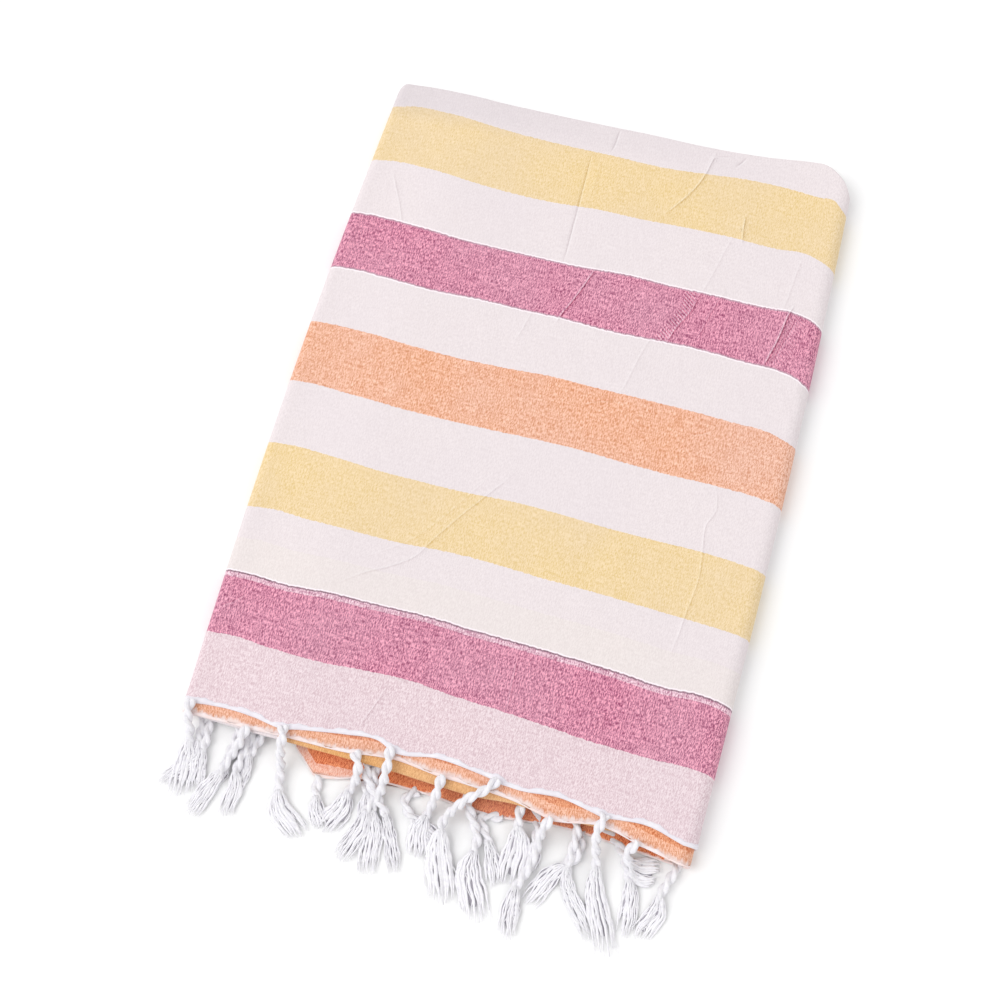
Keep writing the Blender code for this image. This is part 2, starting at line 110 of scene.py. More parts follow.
# Creases of the top layer, in millimetres: height of a sharp ridge (a trough is negative),
# how much the cloth steps up across the line to its left, width, and the line.
CREASES = (
    (-0.39, 0.21, 1.5, ((-0.2, 222), (-0.8, 217.5), (-1.9, 204), (-3, 200))),
    (-0.40, 0.36, 1.5, ((-15, 202), (-14.8, 196), (-13.5, 159), (-11.8, 111.6), (-11.5, 106))),
    (0.21, 0.06, 2.2, ((-8, 196), (-7, 180), (-8, 160))),
    (0.59, 0.21, 1.7, ((67, 226), (65.3, 210.7), (61.2, 193), (53, 176), (41, 159))),
    (0.35, -0.14, 1.5, ((64, 214), (75, 216), (88, 222))),
    (-0.48, 0.24, 1.4, ((89, 226), (87.3, 219.4), (81, 209))),
    (0.48, 0.40, 1.5, ((96, 176), (96.2, 170.6), (98.3, 153))),
    (0.75, 0.55, 1.9, ((11.0, 115.2), (9.2, 109.4), (1.7, 86.3), (-4.4, 71.3), (-6.1, 65.0))),
    (0.50, 0.50, 2.4,
     ((81.1, 114.2), (79.4, 107.1), (77.5, 98.4), (70.2, 81.7), (67.7, 73.0), (66.6, 66.9))),
    (0.30, 0.10, 2.0, ((96, 118), (91, 104), (85, 74))),
    (0.90, 0.60, 2.0, ((141.6, 120.8), (138.9, 112.0), (135.6, 91.3), (131.5, 74.3), (129.8, 67.3))),
    (-0.42, 0.00, 1.8, ((145, 112), (135, 72))),
    (0.24, 0.32, 1.6, ((-144, 154), (-140.1, 146.3), (-126, 116.6), (-124, 110))),
    (0.18, 0.12, 2.2, ((93, 164), (90.1, 152.9), (80, 110.2), (76, 100))),
    (0.21, 0.15, 2.2, ((139, 156), (137.6, 146), (134.6, 116.8), (133, 108))),
    (0.21, 0.14, 2.0, ((-20, 80), (-21.9, 73.5), (-26.1, 54.6), (-28, 48))),
    (0.21, 0.15, 2.2, ((61, 82), (56.4, 70.8), (48, 33.1), (46, 25))),
    (0.32, 0.07, 1.7, ((24, 16), (30, 19), (38, 22), (54, 25))),
    (0.32, 0.07, 1.7, ((95, 13), (101.7, 15.3), (109, 19))),
    (0.33, 0.29, 1.7, ((0, -32), (-7, -44.6), (-17.2, -59), (-43.1, -99.1), (-46.8, -106.1),
                       (-60, -117), (-75.7, -125.8), (-95, -141))),
    (0.21, 0.00, 3.0, ((-14, -38), (-28, -62), (-54, -98), (-88, -122))),
    (0.30, -0.27, 1.7, ((119, -8), (120.7, -17), (123.6, -31.9), (120, -40.9), (121.5, -57.9),
                        (123.3, -73.9), (120.6, -103.9), (120, -111.7), (116.5, -135))),
    (0.32, 0.16, 1.5, ((30, -152), (30.5, -158.2), (32.3, -180.4), (33, -187))),
    (0.36, 0.12, 1.7, ((-162, -175), (-157.3, -168.8), (-149.9, -163.5), (-143, -156))),
    (0.48, 0.00, 1.8, ((-40, -182), (-35, -184.5), (-30, -185))),
    (0.28, 0.28, 1.8, ((-40, -188), (-42.2, -196.2), (-49.7, -218.3), (-51, -224))),
)
RELIEF_GAIN = 0.85
CREASE_FADE = 0.22  # share of a crease's line over which each end fades
CREASE_CREST = 0.30  # how rounded the crest is, as a share of the width
CREASE_REACH = 25  # widths over which all of it dies away
STEP_REACH = 5.0  # widths over which its raised side does
CREST_RANGE = 9.0  # how far from a crease its crest is told, in millimetres
CREST_END = (1.4, 2.8)  # and where its mark fades
CREST_WIDTH, CREST_HEIGHT = 0.65, 0.0007  # of the crisp crest, in mm and in metres
CREST_LINE, CREST_LINE_WIDTH = 0.45, 0.55  # its painted highlight line and its painted shade line, in mm from it
PAINTED_CREST_HIGHLIGHT, PAINTED_CREST_SHADE = 0.45, 0.45  # how strongly the painted highlight and painted shade show
LEAST_TONE = 0.4  # the lowest gamma that they may give
# Narrow ribs beside creases, in millimetres: their line, how far they reach to its left
# (a negative reach is to its right), and how strong they are.
RIBS = (((78.3, 112.0), (77.5, 98.4), 8.5, 1.0),
        ((77.5, 98.4), (70.2, 81.7), 8.0, 1.0),
        ((70.2, 81.7), (65.9, 69.6), 8.5, 0.9),
        ((140.7, 116.1), (131.8, 72.9), -14.0, 0.35))
RIB_PITCH, RIB_HEIGHT, RIB_SLANT = 2.5, 0.25, 0.84  # in millimetres; slant is a slope
# How strongly the ribs are painted lighter and darker: painted light and shade of their relief.
RIB_SHADE = 0.36
RIPPLES = 34  # seeded faint ripples of the top layer
RIPPLE_HEIGHT, RIPPLE_WIDTH, RIPPLE_LENGTH = 0.00030, 0.008, 0.050
# All this fades out between these places at the near edge and the far edge (there from
# behind), and between these distances from the sides.
RELIEF_NEAR, RELIEF_FAR, RELIEF_SIDE = (-0.222, -0.212), (-0.221, -0.214), (0.001, 0.006)
SEED = 5

# ---- The hems and tassels.
HEM = {"a": {"half_width": 0.0015, "half_height": 0.0009, "uneven": 1.0},
       "b": {"half_width": 0.0009, "half_height": 0.0007, "uneven": 1.8}}
HEM_RISE = 0.0002
HEM_SIDES = 10
HEM_PITCH, HIDDEN_HEM_PITCH, HEM_FOLD_STEPS = 0.0016, 0.008, 12
HEM_LUMP, HEM_LUMP_REACH = 0.35, 0.0045
HEM_WAVES = ((0.19, 0.031), (0.14, 0.0123), (0.08, 0.0047))  # share of its width, and length
HIDDEN_HEM_SHARE = 0.5  # of a hem's height where it is folded under
# The third part of the "yarn" attribute: how much of the threads' twist shows.
CORD_TWIST, BRUSH_TWIST, HEM_TWIST = 1.0, 0.0, {"a": 0.30, "b": 0.45}
PAD = -1.0  # it marks the pads, which are coloured with the gaps' painted shade
PLY_RADIUS, PLY_OFFSET = 0.00180, 0.00135
TWIST_PITCH = 0.0165
PLY_SIDES, CORD_STEP = 10, 0.0010
CORD_BLEND = 0.004  # length over which the plies come out of the hem and go into the brush
FLOOR_GAP = 0.0002  # what lies on the floor stays this far above it
LOW_START = 0.0016  # least height of a cord's middle
LOCKS = 11  # flat locks side by side in a brush
LOCK_HEIGHT, LOCK_SIDES, LOCK_STEPS = 0.00075, 8, 14
YARNS = 9  # and thin loose yarns on it
YARN_RADIUS, YARN_SIDES = 0.00034, 5
BRUSH_NECK, NECK_DEPTH, TIP_DEPTH = 0.0019, 0.0034, 0.0012
BRUSH_BEND = 0.008  # how far a brush first goes on in its cord's direction
PAD_SIDES, PAD_REACH = 12, 0.88
YARN_CRIMP, CRIMP_PITCH = 0.00040, 0.0105
CURL = 0.0022  # how far a brush bows sideways
FALL_LENGTH = 0.017
EDGE_CLEARANCE = 0.0006

# The tassels, in millimetres: the end and third that each hangs from, its root's place
# across, the points of its cord after the root, its brush's tip, half the brush's width
# there, and how far the cord is lifted by what it lies on.
TASSELS = (
    ("a", "middle", -154, ((-154.1, -235.1), (-150.4, -244), (-148.4, -254)),
     (-146.9, -284.1), 7.4, 1),
    ("b", "left", -146, ((-145.4, -241.1), (-143.7, -252.3)), (-157, -279.4), 5, 0),
    ("a", "left", -138, ((-141.2, -237.6), (-140.1, -247.1), (-139.6, -256.8)),
     (-136, -276.8), 4.3, 0),
    ("b", "left", -124, ((-122.4, -240.5), (-124.2, -256.4)), (-132.4, -286.9), 3.7, 0),
    ("b", "middle", -116, ((-116.7, -241.9), (-121.9, -254.6), (-124.8, -266.2)),
     (-136.5, -291.7), 5.6, 2),
    ("a", "left", -108, ((-113.5, -240.9), (-115.3, -251.2), (-116.1, -264.3)),
     (-112.1, -286.8), 5.6, 1),
    ("b", "left", -101, ((-109, -241.8), (-111.9, -253)), (-111.5, -277.4), 3.7, 0),
    ("a", "middle", -94, ((-92.2, -236.2), (-91, -248), (-86.9, -267.9)),
     (-70.4, -288.6), 8.7, 1),
    ("b", "right", -66.5, ((-66.2, -258.4), (-63.4, -265)), (-57.8, -279.1), 5.6, 0),
    ("b", "middle", -48, ((-43.4, -241.6), (-44.4, -249.9), (-48.7, -257.4)),
     (-52.5, -281.9), 7.4, 1),
    ("a", "right", -42, ((-38.1, -247.6), (-34.7, -254.7)), (-32.6, -273.9), 5, 0),
    ("b", "left", -40, ((-37.8, -243.7), (-32.7, -250.1), (-26.5, -256.3), (-19.4, -263.4)),
     (-7.5, -292.7), 4.3, 1),
    ("a", "left", -34, ((-33.3, -245.6), (-30.2, -254.3), (-30.2, -264.5)),
     (-19.8, -296.7), 6.2, 1),
    ("a", "middle", -28, ((-26.4, -238.8), (-27.2, -249.5), (-31.1, -258.1), (-34.1, -265.3)),
     (-37.4, -293.9), 6.2, 3),
    ("b", "right", -7, ((-13, -249.9), (-9.1, -256.7), (-3.1, -260)), (12.3, -268.7), 5.6, 0),
    ("b", "middle", 6, ((5.6, -243.4), (3.5, -252), (1, -258.9)), (2.1, -279.9), 7.4, 1),
    ("a", "left", 20, ((22.8, -240), (28.8, -250.3), (34.7, -260.5), (34.7, -271.2)),
     (43.8, -305.4), 9.3, 1),
    ("a", "middle", 39, ((32.3, -235), (23.9, -242.4), (16.8, -250), (12.9, -256.2), (13.4, -264.3)),
     (24, -299.8), 9.3, 4),
    ("b", "right", 46, ((33.6, -248.6), (38.2, -255.8), (43.2, -262.8)), (51.7, -284.5), 5, 0),
    ("b", "left", 56, ((55.3, -242.4), (57, -250.8)), (61, -280.8), 8.7, 2),
    ("a", "right", 62, ((67.8, -248.2), (67.8, -257.1)), (68.9, -272.1), 5, 0),
    ("b", "middle", 74, ((70.6, -249), (69.9, -259.6), (67.3, -272.5), (63.2, -284)),
     (67.9, -309.6), 6.2, 2),
    ("a", "left", 82, ((90.7, -245.2), (89.9, -253.6), (90.2, -264.1)), (109.9, -297.9), 5, 1),
    ("b", "right", 92, ((94.3, -249.8), (92.7, -257.4), (86.6, -263.8)), (71.8, -287.1), 6.8, 1),
    ("a", "right", 100, ((120.2, -247.4), (123.8, -254.7), (127.4, -261.9)),
     (132.1, -290), 5.6, 0),
    ("a", "middle", 104, ((102.1, -241.1), (104, -250.2), (106.8, -260.8)),
     (121.4, -303.2), 7.4, 3),
    ("b", "middle", 126, ((121.8, -247.5), (126.3, -252.9)), (141.5, -251.3), 8.7, 1),
    ("a", "right", 149, ((151.2, -245.5), (149.2, -252.4), (146.9, -258.8), (144.8, -266.5)),
     (141.3, -289.8), 7.0, 1),
)

# ---- Colours (linear): the yarn's darker and lighter parts, the painted shade of its gaps, and the hems.
YARN_COLOURS = (0.845, 0.83, 0.88), (0.94, 0.925, 0.95)
GAP_SHADE_COLOUR = (0.46, 0.435, 0.49)
HEM_A_COLOUR, HEM_B_COLOUR = (0.80, 0.765, 0.825), (0.91, 0.74, 0.71)
THREADS, THREAD_TURNS = 7.0, 900.0  # round a ply, and their turns per metre

# The cloth's colours, each as its darker and its lighter thread.
COLOURS = {
    "white": ((0.74, 0.665, 0.675), (0.83, 0.755, 0.765)),
    "line": ((0.90, 0.80, 0.84), (0.98, 0.90, 0.93)),
    "rim": ((0.36, 0.17, 0.23), (0.62, 0.40, 0.48)),
    "cream": ((0.745, 0.675, 0.66), (0.83, 0.76, 0.745)),
    "pink": ((0.64, 0.47, 0.51), (0.87, 0.74, 0.77)),
    "magenta": ((0.28, 0.036, 0.12), (0.94, 0.42, 0.55)),
    "magenta_edge": ((0.40, 0.11, 0.21), (0.97, 0.72, 0.80)),
    "dark_line": ((0.14, 0.06, 0.09), (0.44, 0.26, 0.33)),
    "yellow": ((0.74, 0.54, 0.235), (0.88, 0.695, 0.44)),
    "orange": ((0.65, 0.25, 0.108), (0.96, 0.60, 0.45)),
    "orange_end": ((0.65, 0.25, 0.108), (0.96, 0.60, 0.45)),
}
# Painted shade where the cloth is folded under: darker, deeper colours for the shadow and bounced
# light between the layers; the lowest third is the deepest.
UNDER_SHADE_COLOURS = {
    "yellow": ((0.66, 0.305, 0.085), (0.86, 0.50, 0.205)),
    "orange": ((0.56, 0.14, 0.04), (0.91, 0.45, 0.25)),
    "orange_end": ((0.67, 0.25, 0.112), (0.965, 0.595, 0.435)),
}
LOWEST_SHADE_COLOURS = {
    "yellow": ((0.84, 0.48, 0.12), (0.97, 0.70, 0.30)),
    "orange": ((0.58, 0.085, 0.01), (0.97, 0.37, 0.15)),
    "orange_end": ((0.80, 0.31, 0.19), (0.98, 0.65, 0.53)),
}
# The stripes repeat in sixes of a stripe unit; the ends of the cloth differ.
CYCLE = ((0, "white"), (0.984, "line"), (1, "rim"), (1.014, "magenta"), (1.986, "rim"),
         (2, "line"), (2.016, "white"), (3, "yellow"), (4, "white"), (5, "orange"),
         (5.80, "orange_end"))
END_A_UNITS = ((0, "pink"), (1, "magenta"), (1.90, "magenta_edge"), (1.977, "dark_line"),
               (2, "line"), (2.018, "cream"), (2.5, "white"))
CYCLE_UNITS, END_UNITS = 6.0, 3.0
UNDER_FROM_UNIT, LOWEST_FROM = 15.0, 0.640  # in units along, and in metres across
LOWEST_SHIFT, LOWEST_END_SHIFT = 0.26, 0.03  # units by which the lowest third's end is late
LOWEST_END = (0.79, 0.84)  # where across it turns to its free side
HEM_BLEND = (41.93, 41.98)  # stripe units over which end B pales towards its hem
HEM_BLEND_REACH, LOWEST_BLEND_SHIFT = 0.05, 0.06  # how much that differs in places
HEM_COLOUR = (0.93, 0.76, 0.72)
# Painted shade: the cloth greys towards the far fold, where it curves away, most at the left: where
# along, where across, how much.
FAR_SHADE_ALONG, FAR_SHADE_ACROSS, FAR_SHADE = (0.418, 0.434), (0.30, 0.60), 0.27
TOP_END = 0.6  # the top layer's cloth ends before this place along
PAINTED_FAR_SHADE_COLOUR, FADED_COLOUR, FADED = (0.45, 0.42, 0.46), (0.68, 0.62, 0.68), 0.14
UNEVEN_EDGE, RAGGED_EDGE = 0.008, 0.02  # stripe units by which edges wander
# Noises that mix to the weave's speckle: their turn, stretch, scale, detail and share.
WEAVE = ((-7.0, (1.0, 0.20), 2250, 1.0, 0.44), (0.0, (1.0, 1.0), 2300, 2.0, 0.28),
         (0.0, (1.0, 0.05), 1500, 1.0, 0.16), (0.0, (0.05, 1.0), 1500, 1.0, 0.12))
WEAVE_SPREAD = (0.44, 0.56)
# Where the stripes' edges lie on top, in millimetres: each row is a place across, and
# how far along the edges are from the first one, below magenta, to the last, over yellow.
STRIPE_EDGES = (
    (-157, -185.5, -144.5, -101.1, -56.6, -12.3, 32.2, 73.4, 115.8, 159.3, 203.4),
    (-148, -184.4, -144.0, -99.8, -55.7, -11.7, 32.6, 74.4, 116.4, 160.8, 205.8),
    (-120, -186.2, -145.5, -101.2, -57.1, -13.6, 31.3, 72.2, 114.4, 159.4, 204.9),
    (-90, -187.1, -143.7, -101.7, -59.5, -15.5, 28.7, 70.2, 111.2, 155.8, 201.3),
    (-60, -185.1, -143.4, -101.7, -59.8, -15.9, 28.0, 71.4, 110.4, 153.9, 199.1),
    (-30, -183.8, -142.7, -99.7, -59.8, -15.5, 28.6, 71.0, 110.2, 153.6, 198.2),
    (0, -186.0, -143.9, -99.8, -58.2, -14.7, 30.2, 71.2, 110.0, 155.5, 197.9),
    (30, -187.2, -144.3, -101.1, -58.6, -14.5, 29.8, 69.9, 112.0, 155.3, 196.9),
    (60, -189.1, -144.9, -101.4, -59.8, -15.8, 29.7, 71.1, 111.2, 156.6, 198.9),
    (90, -190.9, -146.0, -102.2, -60.0, -16.3, 29.6, 72.0, 111.5, 157.0, 202.0),
    (120, -191.3, -147.9, -103.3, -59.8, -16.0, 28.7, 70.5, 111.4, 156.1, 202.2),
    (142, -190.7, -146.6, -104.1, -61.0, -16.7, 27.8, 69.9, 112.0, 157.0, 200.7),
    (152, -190.8, -147.8, -104.9, -62.0, -17.9, 25.1, 67.2, 109.9, 153.6, 200.4),
    (157, -191.8, -148.7, -105.4, -62.8, -18.9, 23.6, 64.8, 107.8, 151.4, 195.8),
    (162, -192.6, -149.8, -105.8, -63.2, -19.6, 22.6, 63.2, 106.0, 149.8, 193.8),
)
FIRST_UNIT, EVEN_UNIT, LAST_UNIT = 0.0367, 0.0433, 41.98
EVEN_LENGTH = 0.52  # from the top's far edge round the near fold, evenly woven
# The near fold's stripes drift at the left: by how many units, from how many millimetres
# left of the middle, and from and to which units.
FOLD_DRIFT, FOLD_DRIFT_LEFT, FOLD_DRIFT_UNITS = 0.22, (88, 102), ((14, 19), (22, 28))


# ---- Small helpers.

def smooth(value, start, end):
    """0 before start and 1 after end, with an even ease between them."""
    share = np.clip((value - start) / (end - start), 0.0, 1.0)
    return share * share * (3 - 2 * share)


def on_curve(places, values, at):
    """Values at some places on a smooth curve through given ones."""
    places, values = np.asarray(places, float), np.asarray(values, float)
    slopes = np.gradient(values, places, axis=0)
    k = np.clip(np.searchsorted(places, at) - 1, 0, len(places) - 2)
    span = places[k + 1] - places[k]
    t = np.clip((at - places[k]) / span, 0.0, 1.0)
    if values.ndim > 1:
        span, t = span[:, None], t[:, None]
    return ((2 * t ** 3 - 3 * t ** 2 + 1) * values[k] + (t ** 3 - 2 * t ** 2 + t) * span * slopes[k]
            + (3 * t ** 2 - 2 * t ** 3) * values[k + 1] + (t ** 3 - t ** 2) * span * slopes[k + 1])


def between(rows, x, column=1):
    """Read a column of a table at x, on a smooth curve through its rows."""
    rows = sorted(rows)
    return on_curve([row[0] for row in rows], [row[column] for row in rows], x)


def distances(points):
    """How far along a line of points each of them is."""
    return np.concatenate([[0], np.cumsum(np.linalg.norm(np.diff(points, axis=0), axis=1))])


def curve_through(points, count):
    """Points on a smooth curve through a few given ones."""
    steps = distances(np.array(points, float))
    return on_curve(steps, points, np.linspace(0, steps[-1], count))


def ring(centre, wide, tall, sides, turn=0.0):
    """Points of an oval round a centre; its half axes are vectors."""
    angles = turn - 2 * math.pi * np.arange(sides) / sides
    return centre + np.outer(np.cos(angles), wide) + np.outer(np.sin(angles), tall)


# ---- Columns across the cloth, from the left third's free edge to the right third's.

def edge_reach(third, x, name):
    """How far an edge of the cloth reaches at x, in metres."""
    return between(THIRDS[third], x / MM, EDGE_NAMES.index(name) + 1) * MM


def cloth_column(third, x, angle, reaches):
    """A column: its third, its place (none if that depends on the layer), its turn in a fold."""
    return {"third": third, "x": x, "angle": angle, **dict(zip(EDGE_NAMES, reaches))}


def flat_column(third, x):
    """A column in a flat third."""
    return cloth_column(third, x, None, [edge_reach(third, x, name) for name in EDGE_NAMES])


def flat_columns(third, pitch):
    """The columns of a flat third, in the order in which the cloth passes them."""
    places = sorted(row[0] * MM for row in THIRDS[third])
    start, end = (places[0], places[-1]) if third == "middle" else (places[-1], places[0])
    count = max(2, round(abs(end - start) / pitch) + 1)
    return [flat_column(third, x) for x in np.linspace(start, end, count)]


def bend_columns(third, start, end, steps):
    """The columns around a side fold, between the columns that it joins."""
    return [cloth_column(third, None, math.pi * share, [
        start[name] + share * (end[name] - start[name]) for name in EDGE_NAMES])
        for share in (step / steps for step in range(1, steps))]


def all_columns(pitch, hidden_pitch, fold_steps):
    """Every column, in order, with its place across the flat cloth."""
    left, right = flat_columns("left", hidden_pitch), flat_columns("right", hidden_pitch)
    middle = flat_columns("middle", pitch)
    free = [cloth_column(third, None, None, [reach * MM for reach in reaches])
            for third, reaches in FREE_EDGES.items()]
    columns = [free[0], *left, *bend_columns("left_fold", left[-1], middle[0], fold_steps),
               *middle, *bend_columns("right_fold", middle[-1], right[0], fold_steps),
               *right, free[1]]
    places = np.array([fold_across(column, STACK / 2, STACK / 2) for column in columns])
    for column, across in zip(columns, distances(places)):
        column["across"] = float(across)
    return columns


def share_under(column):
    """How far a column is folded under: 0 on top and 1 in the outer thirds."""
    if column["angle"] is None:
        return 0.0 if column["third"] == "middle" else 1.0
    turn = column["angle"] / math.pi
    return 1 - turn if column["third"] == "left_fold" else turn


# ---- Placing points.

def fold_across(column, height, layer):
    """The place across and up of points at a height in the folded strip."""
    third, x, angle = column["third"], column["x"], column["angle"]
    if third == "middle":
        return x + 0 * height, MIDDLE_HEIGHT + height
    side, bend, radius, length = SIDES[third.split("_")[0]]
    if angle is not None:
        angle = angle if side > 0 else math.pi - angle
        return (bend + side * (radius + height) * math.sin(angle),
                MIDDLE_HEIGHT - radius + (radius + height) * math.cos(angle))
    if x is None:
        x = bend - side * (length - layer)
    return x + 0 * height, MIDDLE_HEIGHT - 2 * radius - height


FAR_AT_MIDDLE = between(FAR_EDGE, 0) * MM


def settle(x, y, z, lowest_third):
    """Give points of the even packet their place in the uneven, settled one."""
    if not lowest_third:
        z = z - STEP_HEIGHT * smooth(x, *STEP_DOWN)
    swell_across = np.sin(2 * math.pi * x / SWELL_ACROSS_WAVE + SWELL_ACROSS_PHASE)
    swell_along = np.sin(2 * math.pi * y / SWELL_ALONG_WAVE + SWELL_ALONG_PHASE)
    z = z * (1 + SWELL_ACROSS * swell_across + SWELL_ALONG * swell_along)
    left_reach = np.maximum(0.0, -x - FOLDED_WIDTH / 2 + LEFT_CORNER)
    right_reach = np.maximum(0.0, x - FOLDED_WIDTH / 2 + RIGHT_CORNER)
    drop = left_reach ** 2 / LEFT_CORNER + right_reach ** 2 / RIGHT_CORNER
    y = y - CORNER_DEPTH_SHARE * drop * smooth(y, *CORNER_FADE)
    bow = np.where(x < 0, LEFT_BOW, RIGHT_BOW)
    bow = bow * np.maximum(0.0, np.cos(math.pi * y / (2 * FAR_AT_MIDDLE)))
    x = x + bow * x / (FOLDED_WIDTH / 2)
    low, high = DROOP_HEIGHTS
    raised = np.clip((z - low) / (high - low), 0.0, 1.0)
    z = z - NEAR_DROOP * smooth(-y, *NEAR_DROOP_SPAN) * raised
    return x, y, z


def place(column, y, layer, offset):
    """Places of points of the folded towel, at an offset from their layer's middle."""
    x, z = fold_across(column, layer + offset, layer)
    return np.stack(np.broadcast_arrays(*settle(x, y, z, column["third"] == "right")), -1)


# ---- The sheet's section along its length. Each of its rows holds a place along, a height,
# the outward direction along and up, and how much cloth lies before it.

def fold_rows(centre, along, height, radius, start, end, steps, facing):
    """Rows around one fold."""
    angles = np.radians(np.linspace(start, end, steps + 1))
    return np.stack([centre + radius * np.cos(angles), height + radius * np.sin(angles),
                     facing * np.cos(angles), facing * np.sin(angles),
                     along + radius * np.abs(angles - angles[0])], -1)


def flat_rows(start, end, height, up, along):
    """Rows on a flat layer between two folds, without the folds' own rows."""
    if height == STACK:  # the top layer, which is finer
        y = np.linspace(start, end, TOP_ROWS + 2)[1:-1]
    else:
        y = min(start, end) + np.array(HIDDEN_ROW_PLACES) * MM
        y = y[::-1] if start > end else y
    ones = np.ones_like(y)
    return np.stack([y, height * ones, 0 * ones, up * ones, along + np.abs(y - start)], -1)


def sheet_rows(column):
    """The section in one column, from end A to end B."""
    half = LAYER_PITCH / 2
    x, _ = fold_across(column, STACK / 2, STACK / 2)
    far = between(FAR_EDGE, float(x) / MM) * MM - STACK / 2 - SOLID_THICKNESS / 2
    inner_far = far - INNER_FOLD_SETBACK
    near = column["near_fold"] + half + SOLID_THICKNESS / 2
    first, last = column["hem_a"] + HEM_CLEARANCE, column["hem_b"] + HEM_CLEARANCE
    # Each layer's start, end, height and outer side, and the fold after it.
    layers = ((first, far, STACK, 1, (STACK / 2, STACK / 2, 90, -90, 12, 1)),
              (far, near, 0.0, -1, (half, half, 270, 90, 8, 1)),
              (near, inner_far, LAYER_PITCH, 1, (3 * half, half, -90, 90, 6, -1)),
              (inner_far, last, 2 * LAYER_PITCH, -1, None))
    along = first + END_A_OFFSET
    rows = [np.array([[first, STACK, 0, 1, along]])]
    for start, end, height, up, fold in layers:
        rows.append(flat_rows(start, end, height, up, along))
        along += abs(end - start)
        rows.append(fold_rows(end, along, *fold) if fold
                    else np.array([[end, height, 0, up, along]]))
        along = rows[-1][-1, 4]
    return np.concatenate(rows)


def top_units(x, y):
    """How many stripe units lie between end A and places on one column of the top."""
    edges = [between(STRIPE_EDGES, x, k) * MM for k in range(1, len(STRIPE_EDGES[0]))]
    units = np.interp(y, edges, range(1, len(edges) + 1))
    units = np.where(y < edges[0], np.maximum(0.0, 1 + (y - edges[0]) / FIRST_UNIT), units)
    return np.where(y > edges[-1], len(edges) + (y - edges[-1]) / EVEN_UNIT, units)


def stripe_units(column, places, lengths):
    """How many stripe units lie between end A and every row of a column."""
    top = TOP_ROWS + 2
    across = float(np.mean(places[:top, 0])) / MM
    # What is folded under has the stripes of the nearer side.
    if share_under(column) > 0.5:
        across = -math.inf if column["third"].startswith("left") else math.inf
    across = float(np.clip(across, STRIPE_EDGES[0][0], STRIPE_EDGES[-1][0]))
    units = top_units(across, places[:top, 1])
    beyond = lengths[top:] - lengths[top - 1]
    rest = np.interp(beyond, (0, EVEN_LENGTH, beyond[-1]),
                     (units[-1], units[-1] + EVEN_LENGTH / EVEN_UNIT, LAST_UNIT))
    drift = FOLD_DRIFT * float(smooth(-across, *FOLD_DRIFT_LEFT))
    start, end = FOLD_DRIFT_UNITS
    rest -= drift * smooth(rest, *start) * (1 - smooth(rest, *end))
    return np.concatenate([units, rest])


# ---- The relief of the top layer. What it measures along and across is in millimetres,
# and what it raises is in metres.

def along_line(x, y, line):
    """Signed distance from a line of points, and the share of its length at the foot."""
    best = np.full(x.shape, np.inf)
    signed, share = np.zeros(x.shape), np.zeros(x.shape)
    lengths = [math.dist(a, b) for a, b in zip(line, line[1:])]
    done = 0.0
    for (ax, ay), (bx, by), length in zip(line, line[1:], lengths):
        dx, dy = (bx - ax) / length, (by - ay) / length
        foot = np.clip((x - ax) * dx + (y - ay) * dy, 0, length)
        off_x, off_y = x - ax - foot * dx, y - ay - foot * dy
        distance = np.hypot(off_x, off_y)
        nearer = distance < best
        best = np.where(nearer, distance, best)
        side = np.where(dx * off_y - dy * off_x > 0, -1.0, 1.0)
        signed = np.where(nearer, side * distance, signed)
        share = np.where(nearer, (done + foot) / sum(lengths), share)
        done += length
    return signed, share


def faded(share, over):
    """A fade over both ends of a line."""
    return smooth(share, 0, over) * smooth(1 - share, 0, over)


def crease_relief(x, y):
    """How far creases raise each place, and how far away and how sharp the nearest one is."""
    rise, sharp = np.zeros(x.shape), np.zeros(x.shape)
    nearest = np.full(x.shape, CREST_RANGE)
    for height, step, width, points in CREASES:
        signed, share = along_line(x, y, curve_through(points, 4 * len(points)))
        q = signed / width
        crest = np.exp(CREASE_CREST - np.hypot(q, CREASE_CREST))
        raised = (1 + np.tanh(q)) / 2 * np.exp(-np.maximum(q, 0) / STEP_REACH)
        fade = faded(share, CREASE_FADE)
        rise += (height * crest + step * raised) * fade * np.exp(-np.abs(q) / CREASE_REACH)
        closer = np.abs(signed) < np.abs(nearest)
        nearest = np.where(closer, signed, nearest)
        crispness = math.copysign(abs(height) + 0.5 * abs(step), height)
        crispness = crispness * fade * (1 - smooth(np.abs(signed), *CREST_END))
        sharp = np.where(closer, crispness, sharp)
    return rise * MM, nearest, sharp


def rib_strength(x, y):
    """Where the narrow ribs beside creases are."""
    ribs = np.zeros(x.shape)
    for start, end, reach, strength in RIBS:
        signed, share = along_line(x, y, (start, end))
        away = math.copysign(1, reach) * signed
        beside = smooth(away, -0.5, 1.0) * smooth(abs(reach) - away, 0.0, 2.0)
        ribs = np.maximum(ribs, strength * beside * faded(share, 0.1))
    return ribs


def ripples(x, y):
    """How far seeded faint ripples raise each place. Here all is in metres."""
    rise = np.zeros(x.shape)
    rng = random.Random(SEED)
    for _ in range(RIPPLES):
        cx = rng.uniform(-0.5, 0.5) * FOLDED_WIDTH
        cy = rng.uniform(-0.21, 0.21)
        turn = rng.gauss(0.25, 0.45)
        across = (x - cx) * math.cos(turn) + (y - cy) * math.sin(turn)
        along = -(x - cx) * math.sin(turn) + (y - cy) * math.cos(turn)
        width = RIPPLE_WIDTH * rng.uniform(0.6, 1.6)
        length = RIPPLE_LENGTH * rng.uniform(0.5, 1.2)
        bell = np.exp(-(across / width) ** 2 - (along / length) ** 2)
        rise += RIPPLE_HEIGHT * rng.uniform(-1, 1) * bell
    return rise


# ---- The cloth's mesh.

